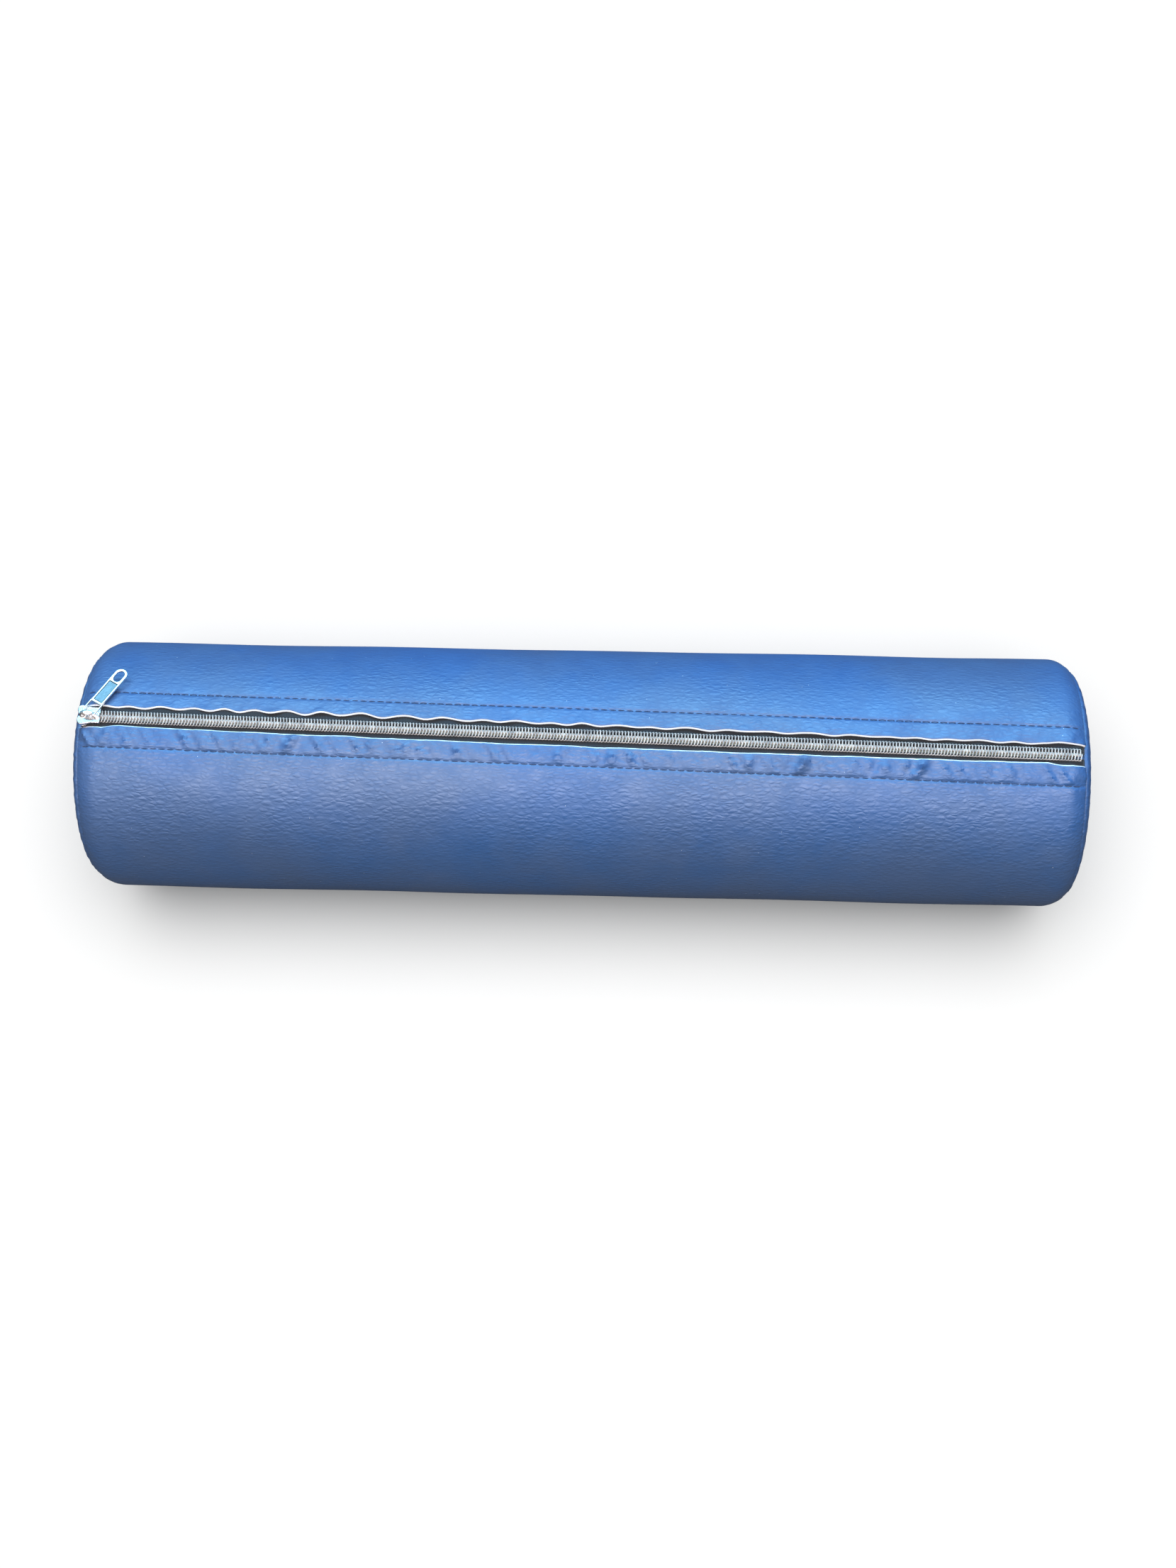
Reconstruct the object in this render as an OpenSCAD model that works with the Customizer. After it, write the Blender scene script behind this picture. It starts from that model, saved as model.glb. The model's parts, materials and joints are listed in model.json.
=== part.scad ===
// Full-round bolster pillow: a foam cylinder in a zipped leatherette cover.
// Millimetres. +X runs along the bolster away from the slider, +Y is the rear, +Z is up.
// The origin is under the middle of the bolster, on the surface that it rests on.

/* [Bolster] */
// Overall length over the domed ends
bolster_l = 600; // [400:5:900]
// Diameter of the stuffed cover
bolster_d = 150; // [120:1:220]
// How far each end panel bulges inside its rounded rim
end_dome = 4.5; // [2:0.5:8]
// Radius of the soft edge round each end
shoulder_r = 17; // [12:0.5:20]
// How far round that edge the tube's panel comes before the seam
shoulder_a = 42; // [36:1:45]
// How far round it the end panel carries on before its dome
rim_a = 78; // [70:1:82]
// Width of the strip that the bolster rests on
rest_w = 30; // [20:1:36]

/* [Cover] */
// Thickness of the leatherette with its backing
cover_t = 1.1; // [0.8:0.05:1.4]
// Seam allowance turned in at each end seam
allowance = 6; // [4:0.5:7]
// From the raw edge to the stitching, behind the zip
rear_hem = 10.5; // [8:0.5:14]
// From the raw edge to the stitching, in front of the zip
front_hem = 12; // [8:0.5:14]
// Length of one stitch with its gap
stitch_pitch = 5; // [3:0.25:6]
// Thread thickness
thread_d = 0.5; // [0.3:0.05:0.7]

/* [Foam core] */
// Radius of the core's softened end edges
core_edge_r = 26; // [25:0.5:30]
// Gap between the core's end and the rim of the end panels
core_end_gap = 2.5; // [1.5:0.5:4]

/* [Zip] */
// How far the zip wanders sideways from end to end
zip_drift = 11.6; // [0:0.2:16]
// Width of the closed chain
chain_w = 7.3; // [5:0.1:9]
// Height of the chain over the tape
chain_h = 2.4; // [1.8:0.1:2.8]
// Distance from tooth to tooth along one coil
tooth_pitch = 1.8; // [1.5:0.05:2.5]
// Width of one tooth along the zip
tooth_t = 0.8; // [0.5:0.05:0.85]
// How far each tooth reaches past the centre line
tooth_hook = 0.9; // [0.5:0.05:1.2]
// Tape thickness
tape_t = 0.5; // [0.4:0.05:0.7]
// Tape left outside the stitching
tape_margin = 1.8; // [1:0.2:4]
// Diameter of the cord inside each coil
cord_d = 0.9; // [0.6:0.05:1]

/* [Slider] */
// Length of the slider
slider_l = 13.5; // [11:0.25:17]
// Thickness of its upper plate
plate_t = 1.2; // [1:0.05:1.6]
// Thickness of its side walls
slider_wall = 0.75; // [0.6:0.05:1]
// How much each shoulder stands wider than the tail
slider_flare = 1.1; // [0.8:0.05:1.5]
// Width of the post between the two plates
post_w = 2.4; // [1.8:0.1:2.6]
// Width of the bridge
bridge_w = 1.4; // [1.1:0.05:1.5]
// Half length of the window under the bridge
window_half = 2.5; // [2.45:0.05:3]
// Height of that window
window_h = 3.2; // [3:0.1:4]
// Thickness of the bridge over the window and of its feet
bridge_t = 0.9; // [0.8:0.05:1.2]

/* [Pull] */
// Overall length of the pull
pull_l = 35; // [28:0.5:44]
// Width of the tab
tab_w = 8; // [6.5:0.1:9]
// Thickness of the tab
tab_t = 1.4; // [1.1:0.1:1.8]
// Diameter of the foot bar that passes through the window
bar_d = 1; // [0.8:0.05:1.05]
// Width of the two legs at the foot
leg_w = 0.8; // [0.7:0.05:1.2]
// Length of the slot between the legs
slot_l = 7.5; // [6:0.25:9]
// Length of the finger hole at the tip
hole_l = 7.6; // [6:0.2:9]
// Width of the finger hole
hole_w = 4.8; // [3.6:0.1:5]
// Turn of the pull from the zip's direction, as it lies
pull_turn = 61; // [60:0.5:62]
// Slope of the pull over the rear of the cover, clear of it wherever the slider stands
pull_slope = 12; // [9:0.5:12.5]

/* [Hidden] */
$fn = 64;

leather_blue = [0.23, 0.42, 0.72];
thread_navy = [0.06, 0.10, 0.24];
tape_black = [0.07, 0.07, 0.08];
coil_silver = [0.72, 0.73, 0.75];
foam_cream = [0.93, 0.90, 0.80];
zinc = [0.80, 0.82, 0.84];

// Clearances: between layers of cloth, round the slider, and round the foot bar
layer_gap = 0.1;
skin_gap = 0.2;
core_gap = 0.3;
slide_gap = 0.3;
slot_margin = 0.5;
eps = 0.01;
big = 4 * bolster_l;

// Cover
cover_r = bolster_d / 2;
axis_z = sqrt(pow(cover_r, 2) - pow(rest_w / 2, 2));
shoulder_x = bolster_l / 2 - end_dome - shoulder_r * sin(rim_a);
seam_x = shoulder_x + shoulder_r * sin(shoulder_a);
seam_r = cover_r - shoulder_r * (1 - cos(shoulder_a));
hem_r = seam_r - 2 * cover_t - layer_gap;
lip_r = hem_r - layer_gap;
arc_steps = 9;

// Zip widths, from the chain outwards
tail_half = chain_w / 2 + slide_gap + slider_wall;
nose_half = tail_half + slider_flare;
slot_half = nose_half + slot_margin;
rear_row = slot_half + rear_hem;
front_row = slot_half + front_hem;
tape_half = max(rear_row, front_row) + tape_margin;
tape_gap_half = post_w / 2 + slot_margin;
zip_a = atan(zip_drift / (2 * seam_x));

// Zip heights from the bolster's axis: the chain and its tape lie on one flat plane
tape_off = cover_t + skin_gap;
tape_top = sqrt(pow(cover_r - tape_off, 2) - pow(zip_drift / 2 + slot_half, 2));
core_off = tape_off + tape_t + core_gap;
spine_w = cord_d + 0.55;
spine_in = chain_w / 2 - spine_w;
cord_y = chain_w / 2 - spine_w / 2;
cord_z = chain_h / 2;
cord_gap = 0.1;
groove = 0.3;

// Slider, in its own frame: x from its middle, z from the top of the tape
slider_x = -(seam_x - slider_l / 2 + 0.5);
plate_z = chain_h + slide_gap;
top_z = plate_z + plate_t;
sole_t = 1;
sole_z = -(tape_t + slide_gap + sole_t);
post_l = 3.2;
post_x = -slider_l / 2 + 0.8 + post_l / 2;
lobe_r = 2.6;
lobe_x = -slider_l / 2 + lobe_r;
bridge_half = window_half + bridge_t;
bridge_h = window_h + bridge_t;
bar_z = top_z + window_h - bar_d / 2 - 0.25;

// Chain: it starts behind the slider's post, at rest, and ends where the far shoulder begins to fall
chain_x0 = slider_x + post_x + post_l / 2 + slide_gap;
chain_x1 = seam_x - 7;
teeth = floor((chain_x1 - chain_x0) / tooth_pitch);
chain_end = chain_x0 + teeth * tooth_pitch;

// Pull: the slot clears the bridge right round the foot bar
pull_gap = 0.22;
slot_half_w = bridge_half * sin(pull_turn) + bridge_w / 2 * cos(pull_turn) + pull_gap;
foot_half = slot_half_w + leg_w;
foot_t = bar_d - 0.1;
tip_t = pull_l - bar_d / 2;
recess_d = 0.35;
rim_w = 1.1;

// A solid of revolution about the bolster's own axis
module about_axis()
    translate([0, 0, axis_z]) rotate([0, 90, 0]) rotate_extrude($fn = 128) children();

// Half outline of the stuffed cover, moved in by off: straight, then round both shoulders
function barrel_side(off, s) = [for (i = [0 : arc_steps])
    let (a = s > 0 ? i * shoulder_a / arc_steps : shoulder_a - i * shoulder_a / arc_steps)
    [cover_r - shoulder_r + (shoulder_r - off) * cos(a), s * (shoulder_x + (shoulder_r - off) * sin(a))]];
module barrel(off)
    about_axis() polygon(concat([[0, barrel_side(off, -1)[0][1]]], barrel_side(off, -1),
                                barrel_side(off, 1), [[0, barrel_side(off, 1)[arc_steps][1]]]));

// The part of a solid that lies above or below a height from the bolster's axis
module above(z) intersection() { children(); translate([-big / 2, -big / 2, axis_z + z]) cube(big); }
module below(z) intersection() { children(); translate([-big / 2, -big / 2, axis_z + z - big]) cube(big); }

// A cylinder along the bolster between two stations
module along(r, x0, x1) translate([x0, 0, axis_z]) rotate([0, 90, 0]) cylinder(r = r, h = x1 - x0, $fn = 128);

// The zip's own frame: x along it, z from the top of the tape
module zip_frame() translate([0, 0, axis_z + tape_top]) rotate([0, 0, -zip_a]) children();

// An upright band along the zip between two distances from its centre line
module zip_band(y0, y1) zip_frame() translate([-big / 2, y0, -cover_r]) cube([big, y1 - y0, 2 * cover_r]);

// Places its children on the cover, x along and arc round from the zip's centre line
function zip_turn(x) = asin(-x * tan(zip_a) / cover_r);
module on_cover(x, arc)
    translate([x, 0, axis_z]) rotate([-(zip_turn(x) + arc * 180 / (PI * cover_r)), 0, 0])
        translate([0, 0, cover_r]) children();

module foam_core() {
    end_x = shoulder_x + shoulder_r * sin(rim_a) - core_end_gap;
    core_r = cover_r - core_off;
    side = [for (i = [0 : arc_steps]) let (a = 90 * i / arc_steps)
        [core_r - core_edge_r + core_edge_r * cos(a), end_x - core_edge_r + core_edge_r * sin(a)]];
    other = [for (i = [arc_steps : -1 : 0]) [side[i][0], -side[i][1]]];
    color(foam_cream) difference() {
        below(tape_top - tape_t - core_gap) above(-axis_z + cover_t + core_gap)
            about_axis() polygon(concat([[0, -end_x]], other, side, [[0, end_x]]));
        // trough that the slider's sole runs in
        zip_frame() translate([-big / 2, -nose_half - slide_gap, sole_z - slide_gap])
            cube([big, 2 * (nose_half + slide_gap), cover_r]);
    }
}

// Leatherette wrapped round the core, open along the zip, with its ends turned in and back
module tube_panel() {
    color(leather_blue) difference() {
        union() {
            difference() {
                above(-axis_z) barrel(0);
                above(-axis_z + cover_t) barrel(cover_t);
            }
            for (s = [-1, 1]) difference() {
                along(hem_r + cover_t, s > 0 ? seam_x - allowance : -seam_x + cover_t / 2,
                      s > 0 ? seam_x - cover_t / 2 : -seam_x + allowance);
                along(hem_r, -big / 2, big / 2);
            }
        }
        along(hem_r, -big / 2, big / 2);
        intersection() {
            zip_band(-slot_half, slot_half);
            above(0) along(2 * cover_r, -big / 2, big / 2);
        }
    }
}

// Domed disc that carries the rounded edge on past the seam, with its rim turned in under the tube panel
function end_side(off) =
    let (dome_edge = cover_r - shoulder_r * (1 - cos(rim_a)),
         dome_r = (pow(dome_edge, 2) + pow(end_dome, 2)) / (2 * end_dome),
         dome_a = asin(dome_edge / dome_r),
         seam_out_a = acos(1 - (cover_r - lip_r) / shoulder_r),
         dome_steps = 8)
    concat([for (i = [0 : dome_steps - 1]) let (a = dome_a * i / dome_steps)
                [(dome_r - off) * sin(a), bolster_l / 2 - dome_r + (dome_r - off) * cos(a)]],
           [for (i = [0 : arc_steps]) let (a = rim_a + (seam_out_a - rim_a) * i / arc_steps)
                [cover_r - shoulder_r + (shoulder_r - off) * cos(a), shoulder_x + (shoulder_r - off) * sin(a)]]);
module end_panel(s) {
    outer = end_side(0);
    inner = end_side(cover_t);
    in_r = lip_r - cover_t;
    kept = [for (p = inner) if (p[0] < in_r) p];
    last = kept[len(kept) - 1];
    outline = concat(outer, [[lip_r, seam_x - allowance], [in_r, seam_x - allowance], [in_r, last[1]]],
                     [for (i = [len(kept) - 1 : -1 : 0]) kept[i]]);
    color(leather_blue) about_axis() polygon([for (p = outline) [p[0], s * p[1]]]);
}

// Ring of stitches that closes one end seam, on the inside of the rim
module end_seam(s) {
    ring_r = lip_r - cover_t - thread_d / 2 - layer_gap;
    count = floor(2 * PI * ring_r / stitch_pitch);
    color(thread_navy) for (i = [0 : count - 1])
        translate([s * (seam_x - allowance / 2), 0, axis_z]) rotate([i * 360 / count, 0, 0])
            translate([0, 0, ring_r - layer_gap]) rotate([90, 0, 0])
                cylinder(d = thread_d, h = 0.8 * stitch_pitch, center = true, $fn = 16);
}

// One row of lockstitches on the cover, side 1 behind the zip and -1 in front
module zip_stitching(side) {
    row = side > 0 ? rear_row : front_row;
    count = floor(2 * shoulder_x / stitch_pitch);
    color(thread_navy) for (i = [0 : count - 1])
        let (x = (i - (count - 1) / 2) * stitch_pitch)
            on_cover(x, side * row) rotate([0, 0, -zip_a]) translate([0, 0, thread_d / 2 + 0.02])
                rotate([0, 90, 0]) cylinder(d = thread_d, h = 0.8 * stitch_pitch, center = true, $fn = 16);
}

// Woven tape: flat beside the chain, then following the inside of the cover
module tape(side) {
    color(tape_black) intersection() {
        difference() {
            below(tape_top) barrel(tape_off);
            below(tape_top - tape_t) barrel(tape_off + tape_t);
            for (s = [-1, 1]) translate([s * (seam_x - allowance - layer_gap + big / 2), 0, 0])
                cube([big, big, big], center = true);
            // room for the slider's sole where the tape falls with the cover's ends
            zip_frame() translate([-big / 2, -nose_half - slide_gap, -tape_t - slide_gap / 2 - cover_r])
                cube([big, 2 * (nose_half + slide_gap), cover_r]);
        }
        above(0) zip_band(side > 0 ? tape_gap_half : -tape_half, side > 0 ? tape_half : -tape_gap_half);
    }
}

// One coil as a comb of teeth on a spine that the cord runs through; the two mesh half a pitch apart
module coil(side) {
    shift = side > 0 ? tooth_pitch * 0.25 : tooth_pitch * 0.75;
    comb = concat([[chain_x0, chain_w / 2], [chain_end, chain_w / 2], [chain_end, spine_in]],
        [for (i = [teeth - 1 : -1 : 0], c = [0 : 3])
            [chain_x0 + shift + i * tooth_pitch + (c < 2 ? 1 : -1) * tooth_t / 2,
             c == 1 || c == 2 ? -tooth_hook : spine_in]],
        [[chain_x0, spine_in]]);
    color(coil_silver) zip_frame() mirror([0, side > 0 ? 0 : 1, 0]) difference() {
        translate([0, 0, 0.05]) linear_extrude(chain_h - 0.05) polygon(comb);
        translate([chain_x0 - 1, cord_y, cord_z]) rotate([0, 90, 0])
            cylinder(d = cord_d + cord_gap, h = chain_end - chain_x0 + 2, $fn = 24);
        translate([chain_x0 - 1, cord_y - groove / 2, chain_h - groove])
            cube([chain_end - chain_x0 + 2, groove, 1]);
    }
}

// Filler cord inside a coil
module coil_cord(side)
    color(tape_black) zip_frame() translate([chain_x0, side * cord_y, cord_z]) rotate([0, 90, 0])
        cylinder(d = cord_d, h = chain_end - chain_x0, $fn = 24);

// Chain-stitch thread that holds a coil down on its tape, in the hollow along the coil's back
module coil_thread(side)
    color(tape_black) zip_frame()
        translate([chain_x0, side * cord_y, chain_h - groove / 2]) rotate([0, 90, 0])
            cylinder(d = groove - 0.06, h = chain_end - chain_x0, $fn = 16);

// Plan of the slider's plates: a straight tail and two round shoulders, let out by grow
module slider_plan(grow) {
    tail_r = 1;
    for (s = [-1, 1]) {
        translate([lobe_x, s * (nose_half - lobe_r)]) circle(r = lobe_r + grow);
        translate([slider_l / 2 - tail_r, s * (tail_half - tail_r)]) circle(r = tail_r + grow);
    }
    polygon([for (s = [1, -1], k = s > 0 ? [0, 1, 2] : [2, 1, 0])
        [[lobe_x, slider_l / 10, slider_l / 2 - tail_r][k],
         s * ([nose_half, tail_half, tail_half][k] + grow)]]);
    polygon([[lobe_x, -nose_half + lobe_r], [slider_l / 2 + grow, -tail_half + tail_r],
             [slider_l / 2 + grow, tail_half - tail_r], [lobe_x, nose_half - lobe_r]]);
    translate([-slider_l / 2 - grow, -nose_half + lobe_r])
        square([lobe_r + grow, 2 * (nose_half - lobe_r)]);
}

// One casting: two plates, the post between them, the side walls and the bridge
module slider_body() {
    channel = chain_w / 2 + slide_gap;
    color(zinc) zip_frame() translate([slider_x, 0, 0]) {
        translate([0, 0, plate_z - eps]) linear_extrude(plate_t + eps) slider_plan(0);
        // side walls stop short of the tape and leave a Y-shaped channel
        translate([0, 0, slide_gap]) linear_extrude(plate_z - slide_gap) difference() {
            slider_plan(0);
            polygon([[-slider_l, -channel - slider_flare], [lobe_x, -channel - slider_flare],
                     [slider_l / 10, -channel], [slider_l, -channel],
                     [slider_l, channel], [slider_l / 10, channel],
                     [lobe_x, channel + slider_flare], [-slider_l, channel + slider_flare]]);
        }
        // the sole is set back from the nose, where the tapes rise into the slider
        translate([0, 0, sole_z]) linear_extrude(sole_t) intersection() {
            slider_plan(-0.3);
            translate([-slider_l / 2 + 1.6, -nose_half]) square([slider_l, 2 * nose_half]);
        }
        translate([post_x, 0, sole_z + eps]) linear_extrude(plate_z - sole_z) {
            for (s = [-1, 1]) translate([s * (post_l - post_w) / 2, 0]) circle(d = post_w);
            square([post_l - post_w, post_w], center = true);
        }
        translate([0, bridge_w / 2, top_z - eps]) rotate([90, 0, 0]) linear_extrude(bridge_w) difference() {
            round_r = 1.2;
            union() {
                translate([-bridge_half, 0]) square([2 * bridge_half, bridge_h - round_r]);
                translate([-bridge_half + round_r, 0]) square([2 * (bridge_half - round_r), bridge_h]);
                for (s = [-1, 1]) translate([s * (bridge_half - round_r), bridge_h - round_r])
                    circle(r = round_r);
            }
            translate([-window_half, -1]) square([2 * window_half, window_h + 1]);
        }
    }
}

// Flat outline of a strip with a round far end, from t0 to t1
module strip(t0, t1, half) {
    translate([t0, -half]) square([t1 - half - t0, 2 * half]);
    translate([t1 - half, 0]) circle(r = half);
}

// Cast pull: foot bar and two legs, then a rimmed tab with a sunk panel and a finger hole
module pull_tab() {
    tab_half = tab_w / 2;
    leg_end = slot_l + bar_d / 2;
    hole_r = hole_w / 2;
    hole_end = tip_t - (tab_w - hole_w) / 2;
    panel_0 = leg_end + 1.4;
    panel_1 = hole_end - hole_l - rim_w;
    panel_half = tab_half - rim_w;
    color(zinc) zip_frame() translate([slider_x, 0, bar_z]) rotate([-pull_slope, 0, 0])
        rotate([0, 0, pull_turn]) {
            rotate([90, 0, 0]) cylinder(d = bar_d, h = 2 * foot_half - leg_w / 2, center = true, $fn = 24);
            for (s = [-1, 1]) translate([0, s * (foot_half - leg_w / 2), 0])
                translate([leg_end / 2, 0, 0]) cube([leg_end, leg_w, foot_t], center = true);
            difference() {
                translate([0, 0, -tab_t / 2]) linear_extrude(tab_t) {
                    translate([leg_end - eps, -foot_half]) square([1.2, 2 * foot_half]);
                    strip(leg_end + 0.8, tip_t, tab_half);
                }
                translate([0, 0, -tab_t]) linear_extrude(2 * tab_t) {
                    translate([hole_end - hole_l + hole_r, -hole_r]) square([hole_l - hole_w, hole_w]);
                    for (t = [hole_end - hole_l + hole_r, hole_end - hole_r]) translate([t, 0]) circle(r = hole_r);
                }
                translate([panel_0, -panel_half, tab_t / 2 - recess_d])
                    cube([panel_1 - panel_0, 2 * panel_half, 1]);
            }
        }
}

foam_core();
tube_panel();
end_panel(-1);  // left_end_panel
end_panel(1);  // right_end_panel
end_seam(-1);  // left_end_seam
end_seam(1);  // right_end_seam
tape(1);  // rear_tape
tape(-1);  // front_tape
zip_stitching(1);  // rear_zip_stitching
zip_stitching(-1);  // front_zip_stitching
coil(1);  // rear_coil
coil(-1);  // front_coil
coil_cord(1);  // rear_coil_cord
coil_cord(-1);  // front_coil_cord
coil_thread(1);  // rear_coil_thread
coil_thread(-1);  // front_coil_thread
slider_body();
pull_tab();
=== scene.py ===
# %% [markdown]
# # A zipped bolster pillow
# A full-round bolster is a foam cylinder inside a sewn cover. The cover is one rectangle of blue
# leatherette rolled into a tube, a domed disc sewn into each end, and a long zip along the top.
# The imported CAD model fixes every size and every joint; this script gives each piece its real surface.

import json
import math

import bmesh
import bpy
import numpy as np
from mathutils import Matrix, Vector


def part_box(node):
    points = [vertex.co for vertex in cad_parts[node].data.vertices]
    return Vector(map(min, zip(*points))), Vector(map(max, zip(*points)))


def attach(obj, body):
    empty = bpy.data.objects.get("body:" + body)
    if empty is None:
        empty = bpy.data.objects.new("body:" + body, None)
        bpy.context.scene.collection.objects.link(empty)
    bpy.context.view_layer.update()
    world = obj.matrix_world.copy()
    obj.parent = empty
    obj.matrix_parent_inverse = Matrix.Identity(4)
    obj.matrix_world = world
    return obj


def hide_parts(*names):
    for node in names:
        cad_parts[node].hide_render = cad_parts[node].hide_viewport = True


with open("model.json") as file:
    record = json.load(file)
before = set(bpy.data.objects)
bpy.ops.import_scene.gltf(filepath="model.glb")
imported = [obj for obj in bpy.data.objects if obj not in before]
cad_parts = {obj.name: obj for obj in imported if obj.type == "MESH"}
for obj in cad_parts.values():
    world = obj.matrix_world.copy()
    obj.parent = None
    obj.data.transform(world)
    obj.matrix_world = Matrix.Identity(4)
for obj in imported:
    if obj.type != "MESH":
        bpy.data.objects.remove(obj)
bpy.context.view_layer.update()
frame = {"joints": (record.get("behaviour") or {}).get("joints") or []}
MM = 0.001

# %% [markdown]
# ## Sizes
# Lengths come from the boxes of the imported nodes. The few values that a box can't tell, such as the
# radius of the soft edge round each end, repeat the design. Everything below is in metres.

# %% Read the sizes of the cover and the zip
panel_lo, panel_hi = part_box("tube_panel")
cap_lo, cap_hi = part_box("right_end_panel")
coil_lo, coil_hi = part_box("rear_coil")
COVER_R = (panel_hi.y - panel_lo.y) / 2
AXIS_Z = (cap_lo.z + cap_hi.z) / 2
LIP_R = (cap_hi.z - cap_lo.z) / 2
SEAM_X = panel_hi.x
END_X = cap_hi.x
EDGE_R = 17 * MM
TUBE_TURN = math.radians(42)
RIM_TURN = math.radians(78)
STRAIGHT_X = SEAM_X - EDGE_R * math.sin(TUBE_TURN)
COVER_T = 1.05 * MM
ALLOWANCE = SEAM_X - cap_lo.x
print("cover radius %.1f mm, seam at %.1f mm" % (COVER_R / MM, SEAM_X / MM))

# %% Read the zip's line and the pull's hinge from the joints
joints = {j["name"]: j for j in frame["joints"]}
ZIP_DIR = Vector(joints["zip_slide"]["axis"]).normalized()
ZIP_SLOPE = ZIP_DIR.y / ZIP_DIR.x
TAPE_TOP = coil_lo.z - 0.05 * MM
CHAIN_H = coil_hi.z - TAPE_TOP
SLOT_HALF = 6.3 * MM
REAR_HEM = 10.5 * MM
FRONT_HEM = 12 * MM
TAPE_HALF = SLOT_HALF + FRONT_HEM + 1.8 * MM
PULL_AT = Vector(joints["pull_lift"]["pos_m"])
PULL_AXIS = Vector(joints["pull_lift"]["axis"]).normalized()
zip_frame = Matrix.Translation((0, 0, TAPE_TOP)) @ Matrix.Rotation(math.atan(ZIP_SLOPE), 4, "Z")
rng = np.random.default_rng(7)
print("chain %.1f mm high, zip turned %.2f degrees" % (CHAIN_H / MM, math.degrees(math.atan(ZIP_SLOPE))))

# %% [markdown]
# ## Small tools
# Sheets could be modelled as flat meshes with a Solidify modifier, and threads as bevelled curves.
# The cloth here follows formulas instead, so most pieces are grids of points worked out with numpy:
# one array for the face side, one for the back, and walls between them. A swept tube makes the
# threads and coils. That keeps every edge and stitch exactly where its formula puts it.

# %% Mesh helpers
def new_piece(name, points, faces, marks=None):
    """A mesh object from a point array and a face list; marks says which of its materials a face has."""
    mesh = bpy.data.meshes.new(name)
    mesh.from_pydata(np.asarray(points, float).reshape(-1, 3).tolist(), [], faces)
    if marks is not None:
        mesh.polygons.foreach_set("material_index", np.asarray(marks, np.int32))
    piece = bpy.data.objects.new(name, mesh)
    bpy.context.scene.collection.objects.link(piece)
    shell = bmesh.new()
    shell.from_mesh(mesh)
    bmesh.ops.remove_doubles(shell, verts=shell.verts, dist=1e-7)
    bmesh.ops.dissolve_degenerate(shell, edges=shell.edges, dist=1e-8)
    bmesh.ops.recalc_face_normals(shell, faces=shell.faces)
    shell.to_mesh(mesh)
    shell.free()
    mesh.polygons.foreach_set("use_smooth", [True] * len(mesh.polygons))
    mesh.set_sharp_from_angle(angle=math.radians(55))
    return piece


def grid_faces(rows, cols, ring=False):
    """Quads over a grid of points, row by row; ring joins the last column to the first."""
    spans = cols if ring else cols - 1
    return [(i * cols + j, i * cols + (j + 1) % cols, (i + 1) * cols + (j + 1) % cols, (i + 1) * cols + j)
            for i in range(rows - 1) for j in range(spans)]


def cloth_shell(name, face_side, back_side, ring=False, rim=0, backed=True):
    """A closed sheet between two grids of points; ring joins the last column to the first.

    If it is backed, its back, its walls and the rim columns along its cut edges show the backing."""
    rows, cols = face_side.shape[:2]
    points = np.concatenate([face_side.reshape(-1, 3), back_side.reshape(-1, 3)])
    back = rows * cols
    spans = cols if ring else cols - 1
    faces = grid_faces(rows, cols, ring)
    faces += [tuple(back + i for i in reversed(face)) for face in faces]
    marks = [int(j < rim or j >= spans - rim) for _ in range(rows - 1) for j in range(spans)]
    for j in range(spans):
        k = (j + 1) % cols
        last = (rows - 1) * cols
        faces.append((j, back + j, back + k, k))
        faces.append((last + j, last + k, back + last + k, back + last + j))
    if not ring:
        for i in range(rows - 1):
            a, b = i * cols, (i + 1) * cols
            e, f = a + cols - 1, b + cols - 1
            faces.append((a, b, back + b, back + a))
            faces.append((e, back + e, back + f, f))
    marks += [1] * (len(faces) - len(marks))
    return new_piece(name, points, faces, marks if backed else None)


def sweep(path, radius, sides):
    """Points and faces of a round thread along a path, closed at both ends."""
    path = np.asarray(path, float)
    count = len(path)
    along = np.gradient(path, axis=0)
    along /= np.linalg.norm(along, axis=1)[:, None]
    side = np.cross(along, (0.0, 0.0, 1.0))
    weak = np.linalg.norm(side, axis=1) < 1e-3
    side[weak] = np.cross(along[weak], (0.0, 1.0, 0.0))
    side /= np.linalg.norm(side, axis=1)[:, None]
    for i in range(1, count):
        side[i] = side[i - 1] - along[i] * np.dot(side[i - 1], along[i])
        side[i] /= np.linalg.norm(side[i])
    up = np.cross(side, along)
    turn = np.arange(sides) * 2 * math.pi / sides
    width = np.broadcast_to(np.asarray(radius, float), (count,))[:, None, None]
    ring = np.cos(turn)[None, :, None] * side[:, None] + np.sin(turn)[None, :, None] * up[:, None]
    points = path[:, None] + width * ring
    faces = grid_faces(count, sides, ring=True)
    faces.append(tuple(reversed(range(sides))))
    faces.append(tuple(range((count - 1) * sides, count * sides)))
    return points.reshape(-1, 3), faces


def threads(name, paths, radius, sides=6):
    """One piece of many separate lengths of thread."""
    points, faces, start = [], [], 0
    for path in paths:
        p, f = sweep(path, radius, sides)
        points.append(p)
        faces += [tuple(i + start for i in face) for face in f]
        start += len(p)
    return new_piece(name, np.concatenate(points), faces)


def wander(x, period, seed):
    """A smooth random wave along x, about -1 to 1, that repeats exactly on every run."""
    draw = np.random.default_rng(seed)
    total = np.zeros_like(np.asarray(x, float))
    for k in range(6):
        length = period * (0.6 + 0.18 * k)
        total += math.sin(1.9 * k + 1) * np.sin(2 * math.pi * x / length + draw.uniform(0, 2 * math.pi))
    return total / 2.2


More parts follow.
